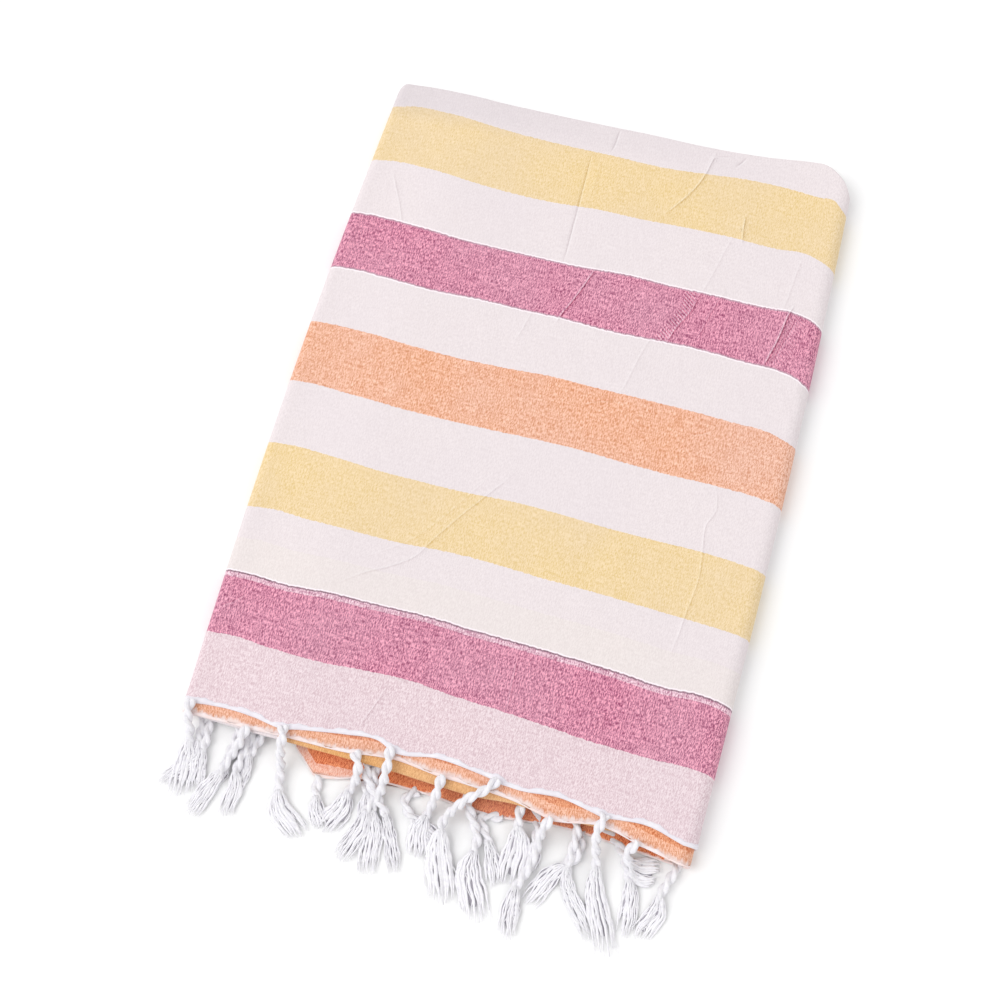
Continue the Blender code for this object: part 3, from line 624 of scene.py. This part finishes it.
def skin_points(columns, side, step):
    """Places, cloth coordinates and crease marks of one skin, on every few columns and rows."""
    places, cloth = [], []
    for column in columns:
        rows = sheet_rows(column)
        half = side * CLOTH_THICKNESS / 2
        here = place(column, rows[:, 0] + half * rows[:, 2], rows[:, 1], half * rows[:, 3])
        places.append(here)
        cloth.append(np.stack([np.full(len(rows), column["across"]), rows[:, 4],
                               stripe_units(column, here, rows[:, 4])], -1))
    places, cloth = np.array(places), np.array(cloth)
    crease = np.zeros(places.shape)
    crease[:, :, 0] = CREST_RANGE
    on_top = np.array([[column["third"] == "middle"] for column in columns])
    top = slice(0, TOP_ROWS + 2)
    x, y = places[:, top, 0], places[:, top, 1]
    held = (smooth(y, *RELIEF_NEAR) * smooth(-y, *RELIEF_FAR)
            * smooth(FOLDED_WIDTH / 2 - np.abs(x), *RELIEF_SIDE) * on_top)
    rise, nearest, sharp = crease_relief(x / MM, y / MM)
    crease[:, top] = np.stack([nearest, sharp * held, rib_strength(x / MM, y / MM) * held], -1)
    places[:, top, 2] += RELIEF_GAIN * (rise + ripples(x, y)) * held
    picked = np.ix_(*(sorted({*range(0, count, step), count - 1}) for count in places.shape[:2]))
    return places[picked], cloth[picked], crease[picked]


def grid_faces(numbers):
    """Four-sided faces of a grid of point numbers."""
    a, b = numbers[:-1, :-1], numbers[:-1, 1:]
    c, d = numbers[1:, 1:], numbers[1:, :-1]
    return np.stack([a, d, c, b], -1).reshape(-1, 4).tolist()


def zip_faces(first, second):
    """Triangles between two lines of point numbers that run side by side."""
    faces = []
    i = j = 0
    while i < len(first) - 1 or j < len(second) - 1:
        ahead_first = (i + 1) / max(1, len(first) - 1)
        ahead_second = (j + 1) / max(1, len(second) - 1)
        if j >= len(second) - 1 or (i < len(first) - 1 and ahead_first <= ahead_second):
            faces.append([int(first[i]), int(first[i + 1]), int(second[j])])
            i += 1
        else:
            faces.append([int(first[i]), int(second[j + 1]), int(second[j])])
            j += 1
    return faces


def add_mesh(name, points, faces, attributes, material):
    """A smooth mesh object with named attributes on its points."""
    mesh = bpy.data.meshes.new(name)
    mesh.from_pydata([tuple(point) for point in points], [], faces)
    for key, values in attributes.items():
        layer = mesh.attributes.new(key, "FLOAT_VECTOR", "POINT")
        layer.data.foreach_set("vector", np.asarray(values, np.float32).ravel())
    mesh.shade_smooth()
    mesh.materials.append(material)
    mesh.validate()
    piece = bpy.data.objects.new(name, mesh)
    bpy.context.scene.collection.objects.link(piece)
    return piece


def build_cloth(material):
    """The folded sheet: a fine outer skin and a plainer inner one, joined at the edges."""
    columns = all_columns(COLUMN_PITCH, HIDDEN_COLUMN_PITCH, SIDE_FOLD_STEPS)
    skins = skin_points(columns, 1, 1), skin_points(columns, -1, INNER_SKIN_STEP)
    outer, inner = (np.arange(skin[0][..., 0].size).reshape(skin[0].shape[:2]) for skin in skins)
    inner += outer.size
    faces = grid_faces(outer) + [face[::-1] for face in grid_faces(inner)]
    for a, b, turn in ((outer[0], inner[0], 1), (outer[-1], inner[-1], -1),
                       (outer[:, 0], inner[:, 0], -1), (outer[:, -1], inner[:, -1], 1)):
        faces += [face[::turn] for face in zip_faces(a, b)]
    points, cloth, crease = (np.concatenate([part.reshape(-1, 3) for part in parts])
                             for parts in zip(*skins))
    return add_mesh("towel_sheet", points, faces, {"cloth": cloth, "crease": crease}, material)


# ---- The hems and tassels.

class MeshParts:
    """Points, faces and yarn coordinates of many tubes that are joined in one mesh."""

    def __init__(self):
        self.points, self.faces, self.yarn = [], [], []

    def tube(self, rings, coordinates, kind):
        """A closed tube through rings of points."""
        base, sides = len(self.points), len(rings[0])
        for points, coordinate in zip(rings, coordinates):
            self.points.extend(points)
            self.yarn.extend((k / sides, coordinate, kind) for k in range(sides))
        for start in range(base, len(self.points) - sides, sides):
            for k in range(sides):
                a, b = start + k, start + (k + 1) % sides
                self.faces.append((a, b, b + sides, a + sides))
        self.faces.append(tuple(range(base + sides - 1, base - 1, -1)))
        self.faces.append(tuple(range(len(self.points) - sides, len(self.points))))


def build_hem(parts, end, rng):
    """The rolled hem of one end, as one soft tube along the cloth's edge."""
    size = HEM[end]
    roots = [root * MM for tassel_end, third, root, *_ in TASSELS
             if tassel_end == end and third == "middle"]
    rings = []
    waves = [(*wave, rng.uniform(0, 2 * math.pi)) for wave in HEM_WAVES]
    columns = all_columns(HEM_PITCH, HIDDEN_HEM_PITCH, HEM_FOLD_STEPS)
    for column in columns:
        flat = 1 - share_under(column) * (1 - HIDDEN_HEM_SHARE)
        lump = 1.0
        if column["third"] == "middle":
            lump += HEM_LUMP * sum(math.exp(-((column["x"] - root) / HEM_LUMP_REACH) ** 2)
                                   for root in roots)
        uneven = 1 + size["uneven"] * sum(
            share * math.sin(column["across"] * 2 * math.pi / length + start)
            for share, length, start in waves)
        angles = 2 * math.pi * np.arange(HEM_SIDES) / HEM_SIDES
        y = (column[f"hem_{end}"] + size["half_width"] * uneven
             + size["half_width"] * lump * uneven * np.cos(angles))
        offsets = HEM_RISE * flat + size["half_height"] * flat * uneven * np.sin(angles)
        points = place(column, y, HEIGHT[end], offsets)
        points[:, 2] = np.maximum(points[:, 2], FLOOR_GAP)
        rings.append(points)
    parts.tube(rings, [column["across"] for column in columns], HEM_TWIST[end])


def fall_start(third, x, root_y):
    """Where a tassel is past the last layer that it lies on, and falls."""
    if third == "middle":
        reach = min(edge_reach("middle", x, name) for name in ("hem_b", "near_fold"))
        return min(root_y, reach) - EDGE_CLEARANCE
    if third == "left" and x > RIGHT_FREE_EDGE:
        return edge_reach("right", x, "hem_b") - EDGE_CLEARANCE
    return root_y - EDGE_CLEARANCE


def cord_line(end, third, root, points, lift):
    """The middle of a tassel's cord, from inside the hem to the start of its brush."""
    column = flat_column(third, root * MM)
    hem = column[f"hem_{end}"]
    start = place(column, hem + HEM[end]["half_width"], HEIGHT[end], 0.0)
    radius = PLY_RADIUS + PLY_OFFSET
    flat = curve_through([start[:2], *(np.array(point) * MM for point in points)], 60)
    count = max(12, round(distances(flat)[-1] / CORD_STEP))
    flat = curve_through([*flat[::6], flat[-1]], count)
    down = smooth(fall_start(third, float(start[0]), hem) - flat[:, 1], 0, FALL_LENGTH)
    high = start[2] + (0.6 * radius if third == "middle" else 0.0)
    low = radius * 0.95 + lift * MM
    return np.column_stack([flat, np.maximum(high + (low - high) * down, LOW_START)])


def frames_along(line):
    """Sideways and upward vectors at each point of a line."""
    ahead = np.gradient(line, axis=0)
    ahead /= np.linalg.norm(ahead, axis=1)[:, None]
    side = np.cross(ahead, (0, 0, 1))
    side /= np.linalg.norm(side, axis=1)[:, None]
    return side, np.cross(side, ahead)


def build_cord(parts, line, phase):
    """Two twisted plies along a line, flatter where the line is close to the floor."""
    side, up = frames_along(line)
    distance = distances(line)
    for ply in range(2):
        rings = []
        for i, at in enumerate(distance):
            turn = 2 * math.pi * at / TWIST_PITCH + math.pi * ply + phase
            offset = PLY_OFFSET * (1 + 0.5 * math.exp(-at / CORD_BLEND))
            radius = PLY_RADIUS * (1 - 0.35 * smooth(at, distance[-1] - CORD_BLEND, distance[-1]))
            tall = min(1.0, (line[i][2] - FLOOR_GAP) / (offset + PLY_RADIUS)) * up[i]
            centre = line[i] + offset * (math.cos(turn) * side[i] + math.sin(turn) * tall)
            rings.append(ring(centre, radius * side[i], radius * tall, PLY_SIDES, turn))
        parts.tube(rings, distance, CORD_TWIST)


class Brush:
    """The shape of the loose end of a tassel: its middle line, width and depth."""

    def __init__(self, line, tip, half_width, lift, curl):
        self.start = line[-4]
        self.finish = np.array([tip[0] * MM, tip[1] * MM, FLOOR_GAP + 0.3 * lift * MM])
        ahead = (line[-1] - line[-5]) / np.linalg.norm(line[-1] - line[-5])
        self.bend = self.start + ahead * BRUSH_BEND
        self.length = float(np.linalg.norm(self.finish[:2] - self.start[:2]))
        direction = np.array([*(self.finish - self.start)[:2], 0.0]) / self.length
        self.sideways = np.cross(direction, (0, 0, 1))
        self.half_width = half_width * MM
        self.curl = curl

    def middle(self, t):
        """The lower middle of the brush."""
        t = t[:, None]
        path = (1 - t) ** 2 * self.start + 2 * t * (1 - t) * self.bend + t * t * self.finish
        low = max(self.start[2] - PLY_RADIUS, self.finish[2])
        path[:, 2] = self.finish[2] + (low - self.finish[2]) * (1 - smooth(t[:, 0], 0.0, 0.55))
        return path + self.sideways * self.curl * np.sin(1.5 * math.pi * t ** 1.3)

    def width_at(self, t):
        """Half the brush's width: a leaf's shape, widest near its end."""
        widening = 1 - np.maximum(0.0, 1 - t / 0.8) ** 1.8
        width = BRUSH_NECK + (self.half_width - BRUSH_NECK) * widening
        return width * (1 - 0.10 * smooth(t, 0.8, 1))

    def depth_at(self, t):
        """The brush's depth at its middle."""
        return NECK_DEPTH - (NECK_DEPTH - TIP_DEPTH) * smooth(t, 0.0, 0.8)

    def strand(self, parts, lane, reach, wide, tall, crimp, phase, sides):
        """One lock or yarn from the cord to the tip, in a lane across the brush."""
        t = np.linspace(0, reach, LOCK_STEPS + 1)
        path = self.middle(t)
        path[:, 2] += 0.5 * tall + self.depth_at(t) * np.sqrt(np.maximum(0.0, 1 - lane ** 2))
        path[:, 2] = np.maximum(path[:, 2], FLOOR_GAP + tall)
        wander = crimp * np.sin(2 * math.pi * t * self.length / CRIMP_PITCH + phase)
        path += self.sideways * (lane * self.width_at(t) + wander * np.minimum(1, 3 * t))[:, None]
        across, over = frames_along(path)
        near_tip = 1 - 0.75 * smooth(t / reach, 0.80, 1.0)
        half_wide = wide * near_tip * self.width_at(t) / self.half_width
        rings = [ring(point, half_wide[i] * across[i], tall * near_tip[i] * over[i], sides)
                 for i, point in enumerate(path)]
        parts.tube(rings, (t * self.length).tolist(), BRUSH_TWIST)

    def pad(self, parts):
        """The soft body under the locks, which closes the gaps between them; it is coloured as
        painted shade.
        """
        t = np.linspace(0, PAD_REACH, LOCK_STEPS)
        taper = 1 - 0.8 * smooth(t, 0.66, PAD_REACH)
        wide = 0.90 * self.width_at(t) * taper
        up = np.outer(0.95 * self.depth_at(t) * taper / 2, (0, 0, 1))
        rings = [ring(point + up[i], wide[i] * self.sideways, up[i], PAD_SIDES)
                 for i, point in enumerate(self.middle(t))]
        parts.tube(rings, (t * self.length).tolist(), PAD)


def build_brush(parts, rng, line, tip, half_width, lift):
    """The loose end of a tassel: a pad, flat locks side by side on it and a few yarns."""
    brush = Brush(line, tip, half_width, lift, rng.uniform(-CURL, CURL))
    brush.pad(parts)
    steps = np.linspace(0, 1, LOCK_STEPS + 1)
    for lock in range(LOCKS):
        lane = -1 + 2 * (lock + 0.5 + rng.uniform(-0.4, 0.4)) / LOCKS
        drift = rng.gauss(0, 0.10)
        wide = 1.05 * half_width * MM / LOCKS * rng.uniform(0.8, 1.5)
        reach = 1.02 - 0.10 * lane ** 2 + rng.uniform(-0.05, 0.03)
        brush.strand(parts, np.clip(lane + drift * steps, -1, 1), reach, wide,
                     LOCK_HEIGHT * rng.uniform(0.7, 1.3), YARN_CRIMP * rng.uniform(0.5, 1.3),
                     rng.uniform(0, 2 * math.pi), LOCK_SIDES)
    for _ in range(YARNS):
        lanes = np.linspace(rng.uniform(-0.9, 0.9), rng.uniform(-1.15, 1.15), LOCK_STEPS + 1)
        brush.strand(parts, lanes, rng.uniform(0.85, 1.06), YARN_RADIUS, YARN_RADIUS,
                     YARN_CRIMP * rng.uniform(1.0, 2.2), rng.uniform(0, 2 * math.pi), YARN_SIDES)


def build_fringe(end, material):
    """One end's hem with its tassels, as one piece."""
    rng = random.Random(SEED + ord(end))
    parts = MeshParts()
    build_hem(parts, end, rng)
    for tassel_end, third, root, points, tip, half_width, lift in TASSELS:
        if tassel_end == end:
            line = cord_line(end, third, root, points, lift)
            build_cord(parts, line, rng.uniform(0, math.pi))
            build_brush(parts, rng, line, tip, half_width, lift)
    return add_mesh(f"fringe_{end}", parts.points, parts.faces, {"yarn": parts.yarn}, material)


# ---- Materials.

class Value:
    """A value in a shader. Arithmetic with it adds the nodes that do it."""

    def __init__(self, nodes, socket):
        self.nodes, self.socket = nodes, socket

    def __add__(self, other):
        return self.nodes.math("ADD", self, other)

    def __sub__(self, other):
        return self.nodes.math("SUBTRACT", self, other)

    def __mul__(self, other):
        return self.nodes.math("MULTIPLY", self, other)

    def __truediv__(self, other):
        return self.nodes.math("DIVIDE", self, other)

    def spread(self, low, high, start=0.0, end=1.0):
        """How far it is from low to high, spread between start and end."""
        return self.nodes.add("MapRange", dict(enumerate((self, low, high, start, end))))


class Nodes:
    """The nodes of a material or a world, and short calls that add and link them."""

    def __init__(self, owner, shader):
        owner.use_nodes = True
        self.tree = owner.node_tree
        self.shader = self.tree.nodes[shader]

    def set(self, node, inputs):
        """Link values to a node's inputs, or set the inputs to constants."""
        for key, source in inputs.items():
            target = node.inputs[key]
            if isinstance(source, Value):
                self.tree.links.new(source.socket, target)
            else:
                target.default_value = (*source, 1.0) if target.type == "RGBA" else source

    def add(self, kind, inputs, output=0, **settings):
        """The value that a new node gives, with its inputs and properties set."""
        node = self.tree.nodes.new(f"ShaderNode{kind}")
        for key, value in settings.items():
            setattr(node, key, value)
        self.set(node, inputs)
        return Value(self, node.outputs[output])

    def math(self, operation, *values):
        """The result of a math node."""
        return self.add("Math", dict(enumerate(values)), operation=operation)

    def mix(self, share, first, second):
        """Two colours mixed."""
        return self.add("Mix", {"Factor": share, 6: first, 7: second}, 2, data_type="RGBA")

    def noise(self, vector, scale, detail=2.0, roughness=0.5):
        """The value of a noise texture."""
        return self.add("TexNoise", {"Vector": vector, "Scale": scale, "Detail": detail,
                                     "Roughness": roughness}, "Fac")

    def turned(self, vector, angle, stretch):
        """Flat coordinates turned, and then scaled along the turned axes."""
        inputs = {"Vector": vector, "Rotation": (0, 0, angle),
                  "Scale": [1 / part for part in (*stretch, 1)]}
        return self.add("Mapping", inputs, vector_type="TEXTURE")

    def attribute(self, name):
        """The three parts of an attribute of the mesh."""
        return self.parts(self.add("Attribute", {}, "Vector", attribute_name=name))

    def parts(self, vector):
        """The three parts of a vector."""
        node = self.add("SeparateXYZ", {0: vector}).socket.node
        return [Value(self, socket) for socket in node.outputs]

    def bump(self, strength, distance, height, below=None):
        """A normal that a height bends, on top of another one."""
        inputs = {"Strength": strength, "Distance": distance, "Height": height}
        return self.add("Bump", inputs if below is None else {**inputs, "Normal": below})

    def steps(self, value, stops):
        """Colours that change in steps along a value from 0 to 1."""
        node = self.add("ValToRGB", {0: value}).socket.node
        ramp = node.color_ramp
        ramp.interpolation = "CONSTANT"
        ramp.elements[0].color = (*stops[0][1], 1.0)
        ramp.elements.remove(ramp.elements[1])
        for position, colour in stops[1:]:
            ramp.elements.new(position).color = (*colour, 1.0)
        return Value(self, node.outputs[0])


def stripe_colours(nodes, across, unit, is_lowest):
    """The colours of the darker and the lighter threads, stripe by stripe."""
    later = across.spread(*LOWEST_END, LOWEST_SHIFT, LOWEST_END_SHIFT)
    cycle = nodes.math("MODULO", unit - is_lowest * later, CYCLE_UNITS) / CYCLE_UNITS
    near_end = unit / END_UNITS
    at_end = nodes.math("LESS_THAN", unit, END_UNITS)
    is_under = nodes.math("GREATER_THAN", unit, UNDER_FROM_UNIT)
    threads = []
    for shade in (0, 1):
        usual, under, lowest = (
            nodes.steps(cycle, [(start / CYCLE_UNITS, table.get(name, COLOURS[name])[shade])
                                for start, name in CYCLE])
            for table in (COLOURS, UNDER_SHADE_COLOURS, LOWEST_SHADE_COLOURS))
        ends = nodes.steps(near_end, [(start / END_UNITS, COLOURS[name][shade])
                                      for start, name in END_A_UNITS])
        # The folded-under layers take the painted-shade colours.
        usual = nodes.mix(is_under, usual, nodes.mix(is_lowest, under, lowest))
        threads.append(nodes.mix(at_end, usual, ends))
    return threads


def weave(nodes, flat):
    """Which of the two threads shows, from 0 to 1."""
    first, *others = [nodes.noise(nodes.turned(flat, math.radians(turn), stretch), scale, detail)
                      * share for turn, stretch, scale, detail, share in WEAVE]
    return sum(others, first).spread(*WEAVE_SPREAD)


def faded_and_far_shaded_colour(nodes, colour, flat, across, along):
    """A colour that is faded in patches, and greys with painted shade towards the far fold."""
    patches = nodes.noise(flat, 14, 3.0).spread(0.3, 0.7, 0.0, FADED)
    colour = nodes.mix(patches, colour, FADED_COLOUR)
    # Painted shade: greyer towards the far fold, most at the left.
    far = along.spread(*FAR_SHADE_ALONG) * across.spread(*FAR_SHADE_ACROSS, FAR_SHADE, 0.0)
    return nodes.mix(far * nodes.math("LESS_THAN", along, TOP_END), colour, PAINTED_FAR_SHADE_COLOUR)


def hem_blend(nodes, flat, unit, uneven, is_lowest):
    """How far the cloth pales towards end B's hem, along a ragged line."""
    ragged = unit - is_lowest * LOWEST_BLEND_SHIFT
    ragged += uneven.spread(0.3, 0.7, -RAGGED_EDGE, RAGGED_EDGE)
    patchy = nodes.noise(nodes.turned(flat, 0.0, (1, 0.1)), 38)
    ragged += patchy.spread(0.46, 0.66, 0.0, HEM_BLEND_REACH)
    return ragged.spread(*HEM_BLEND)


def creased_colour(nodes, colour, away, sharp, ribs):
    """A colour with a painted highlight along the lit side of a crease and painted shade along the
    other, and the ribs' painted light and shade.
    """
    strength = nodes.math("ABSOLUTE", sharp)
    facing = away * nodes.math("SIGN", sharp)
    lines = []
    for middle in (CREST_LINE, -CREST_LINE):
        beside = (facing - middle) / CREST_LINE_WIDTH
        lines.append(nodes.math("POWER", math.e, beside * beside * -1.0) * strength)
    # Painted shade beside a crease's shaded side, painted highlights beside its lit side and on the
    # ribs.
    darker = lines[1] * PAINTED_CREST_SHADE - (lines[0] * PAINTED_CREST_HIGHLIGHT + ribs * RIB_SHADE)
    tone = nodes.math("MAXIMUM", darker + 1.0, LEAST_TONE)
    return nodes.add("Gamma", {"Color": colour, "Gamma": tone})


def cloth_relief(nodes, flat, speckle, away, sharp, ribs):
    """The fine relief: threads, soft crumples, the creases' crests and the ribs."""
    fine = nodes.bump(0.10, 0.0003, speckle)
    crumple = nodes.noise(nodes.turned(flat, 0.3, (1.0, 0.45)), 85, 3.0, 0.6)
    soft = nodes.bump(0.30, 0.0018, crumple, fine)
    crest = nodes.math("POWER", math.e, nodes.math("ABSOLUTE", away) / -CREST_WIDTH)
    return nodes.bump(1.0, CREST_HEIGHT, crest * sharp + ribs * RIB_HEIGHT, soft)


def cloth_material():
    """Striped flat weave: pale warp and coloured weft, speckled where they cross."""
    material = bpy.data.materials.new("striped_cotton")
    nodes = Nodes(material, "Principled BSDF")
    across, along, unit = nodes.attribute("cloth")
    away, sharp, ribbed = nodes.attribute("crease")
    flat = nodes.add("CombineXYZ", {0: across, 1: along})
    uneven = nodes.noise(nodes.turned(flat, 0.0, (1, 0.1)), 420)
    unit += uneven.spread(0.3, 0.7, -UNEVEN_EDGE, UNEVEN_EDGE)
    is_lowest = nodes.math("GREATER_THAN", across, LOWEST_FROM)
    turns = (along + across * RIB_SLANT) * (2 * math.pi / (RIB_PITCH * MM))
    ribs = nodes.math("SINE", turns) * ribbed
    speckle = weave(nodes, flat)
    colour = nodes.mix(speckle, *stripe_colours(nodes, across, unit, is_lowest))
    colour = faded_and_far_shaded_colour(nodes, colour, flat, across, along)
    colour = nodes.mix(hem_blend(nodes, flat, unit, uneven, is_lowest), colour, HEM_COLOUR)
    nodes.set(nodes.shader, {
        "Base Color": creased_colour(nodes, colour, away, sharp, ribs),
        "Roughness": 0.92, "Specular IOR Level": 0.15,
        "Sheen Weight": 0.10, "Sheen Roughness": 0.6,
        "Normal": cloth_relief(nodes, flat, speckle, away, sharp, ribs)})
    return material


def yarn_material():
    """Bluish white cotton yarn, with the fine twist of its threads."""
    material = bpy.data.materials.new("fringe_yarn")
    nodes = Nodes(material, "Principled BSDF")
    around, along, kind = nodes.attribute("yarn")
    position = nodes.add("NewGeometry", {}, "Position")
    colour = nodes.mix(nodes.noise(position, 500, 3.0).spread(0.3, 0.7), *YARN_COLOURS)
    # The pads take a darker colour: painted shade in the gaps between the locks.
    colour = nodes.mix((kind * -1.0).spread(0.0, 1.0), colour, GAP_SHADE_COLOUR)
    hem_a, hem_b = HEM_TWIST["a"], HEM_TWIST["b"]
    is_hem = kind.spread(0.0, hem_a) * kind.spread(hem_b, 1.0, 1.0, 0.0)
    patches = nodes.noise(position, 110).spread(0.35, 0.6, 0.45, 1.0)
    tint = nodes.mix(kind.spread(hem_a, hem_b), HEM_A_COLOUR, HEM_B_COLOUR)
    turns = around * THREADS + along * THREAD_TURNS
    threads = nodes.math("SINE", turns * (2 * math.pi)) * kind
    nodes.set(nodes.shader, {
        "Base Color": nodes.mix(is_hem * patches, colour, tint),
        "Roughness": 0.85, "Specular IOR Level": 0.2, "Sheen Weight": 0.3,
        "Subsurface Weight": 0.25, "Subsurface Radius": (1.0, 1.0, 1.0),
        "Subsurface Scale": 0.0006, "Normal": nodes.bump(0.4, 0.0002, threads)})
    return material


def floor_material():
    """A plain pale floor."""
    material = bpy.data.materials.new("pale_floor")
    nodes = Nodes(material, "Principled BSDF")
    nodes.set(nodes.shader, {"Base Color": (0.95, 0.95, 0.95), "Roughness": 0.9,
                             "Specular IOR Level": 0.1})
    return material


# ---- The stage.

CAMERA = {"azimuth": 23.304, "elevation": 70.444, "roll": -7.993, "distance": 0.936,
          "target": (-0.0076, -0.0588, 0.017), "lens": 54.0}
WORLD_LOW, WORLD_HIGH = 1.0, 0.642     # the world's strength at the horizon and above it
WORLD_RISE = (0.10, 0.20)              # between these heights of the direction it fades
FLOOR_REACH, FLOOR_HEIGHT = 60.0, -0.0003


def add_camera():
    """The camera at the photograph's angle."""
    azimuth, elevation, roll = (math.radians(CAMERA[name])
                                for name in ("azimuth", "elevation", "roll"))
    turn = (Matrix.Rotation(azimuth, 4, "Z") @ Matrix.Rotation(math.pi / 2 - elevation, 4, "X")
            @ Matrix.Rotation(roll, 4, "Z"))
    back = turn.to_3x3().col[2]
    data = bpy.data.cameras.new("camera")
    data.lens = CAMERA["lens"]
    data.sensor_width = 36.0
    camera = bpy.data.objects.new("camera", data)
    camera.matrix_world = Matrix.Translation(Vector(CAMERA["target"])
                                             + CAMERA["distance"] * back) @ turn
    bpy.context.scene.collection.objects.link(camera)
    bpy.context.scene.camera = camera


def add_light(name, direction, softness, strength):
    """A soft, even light from one side."""
    data = bpy.data.lights.new(name, "SUN")
    data.angle = math.radians(softness)
    data.energy = strength
    light = bpy.data.objects.new(name, data)
    light.rotation_euler = Vector(direction).to_track_quat("Z", "Y").to_euler()
    bpy.context.scene.collection.objects.link(light)


def pale_world():
    """A white world, brighter towards the horizon, where it meets the floor without a line."""
    world = bpy.data.worlds.new("studio")
    nodes = Nodes(world, "Background")
    height = nodes.parts(nodes.add("TexCoord", {}, "Generated"))[2]
    nodes.set(nodes.shader, {"Color": (1.0, 1.0, 1.0),
                             "Strength": height.spread(*WORLD_RISE, WORLD_LOW, WORLD_HIGH)})
    return world


def add_stage():
    """Floor, lights and a pale world."""
    mesh = bpy.data.meshes.new("floor")
    corners = ((-1, -1), (1, -1), (1, 1), (-1, 1))
    mesh.from_pydata([(x * FLOOR_REACH, y * FLOOR_REACH, FLOOR_HEIGHT) for x, y in corners],
                     [], [(0, 1, 2, 3)])
    mesh.materials.append(floor_material())
    floor = bpy.data.objects.new("floor", mesh)
    bpy.context.scene.collection.objects.link(floor)
    add_light("key", (-1.0, -0.3, 1.35), 50, 1.45)
    add_light("fill", (0.9, 0.3, 1.5), 80, 0.45)
    bpy.context.scene.world = pale_world()
    bpy.context.scene.view_settings.view_transform = "Standard"


def main():
    """Build everything on the frame."""
    add_camera()
    add_stage()
    sheet = build_cloth(cloth_material())
    yarn = yarn_material()
    fringes = {end: build_fringe(end, yarn) for end in ("a", "b")}
    for piece in (sheet, *fringes.values()):
        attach(piece, "root")
    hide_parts("towel_cloth")
    for end, fringe in fringes.items():
        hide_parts(f"fringe_end_{end}")


main()
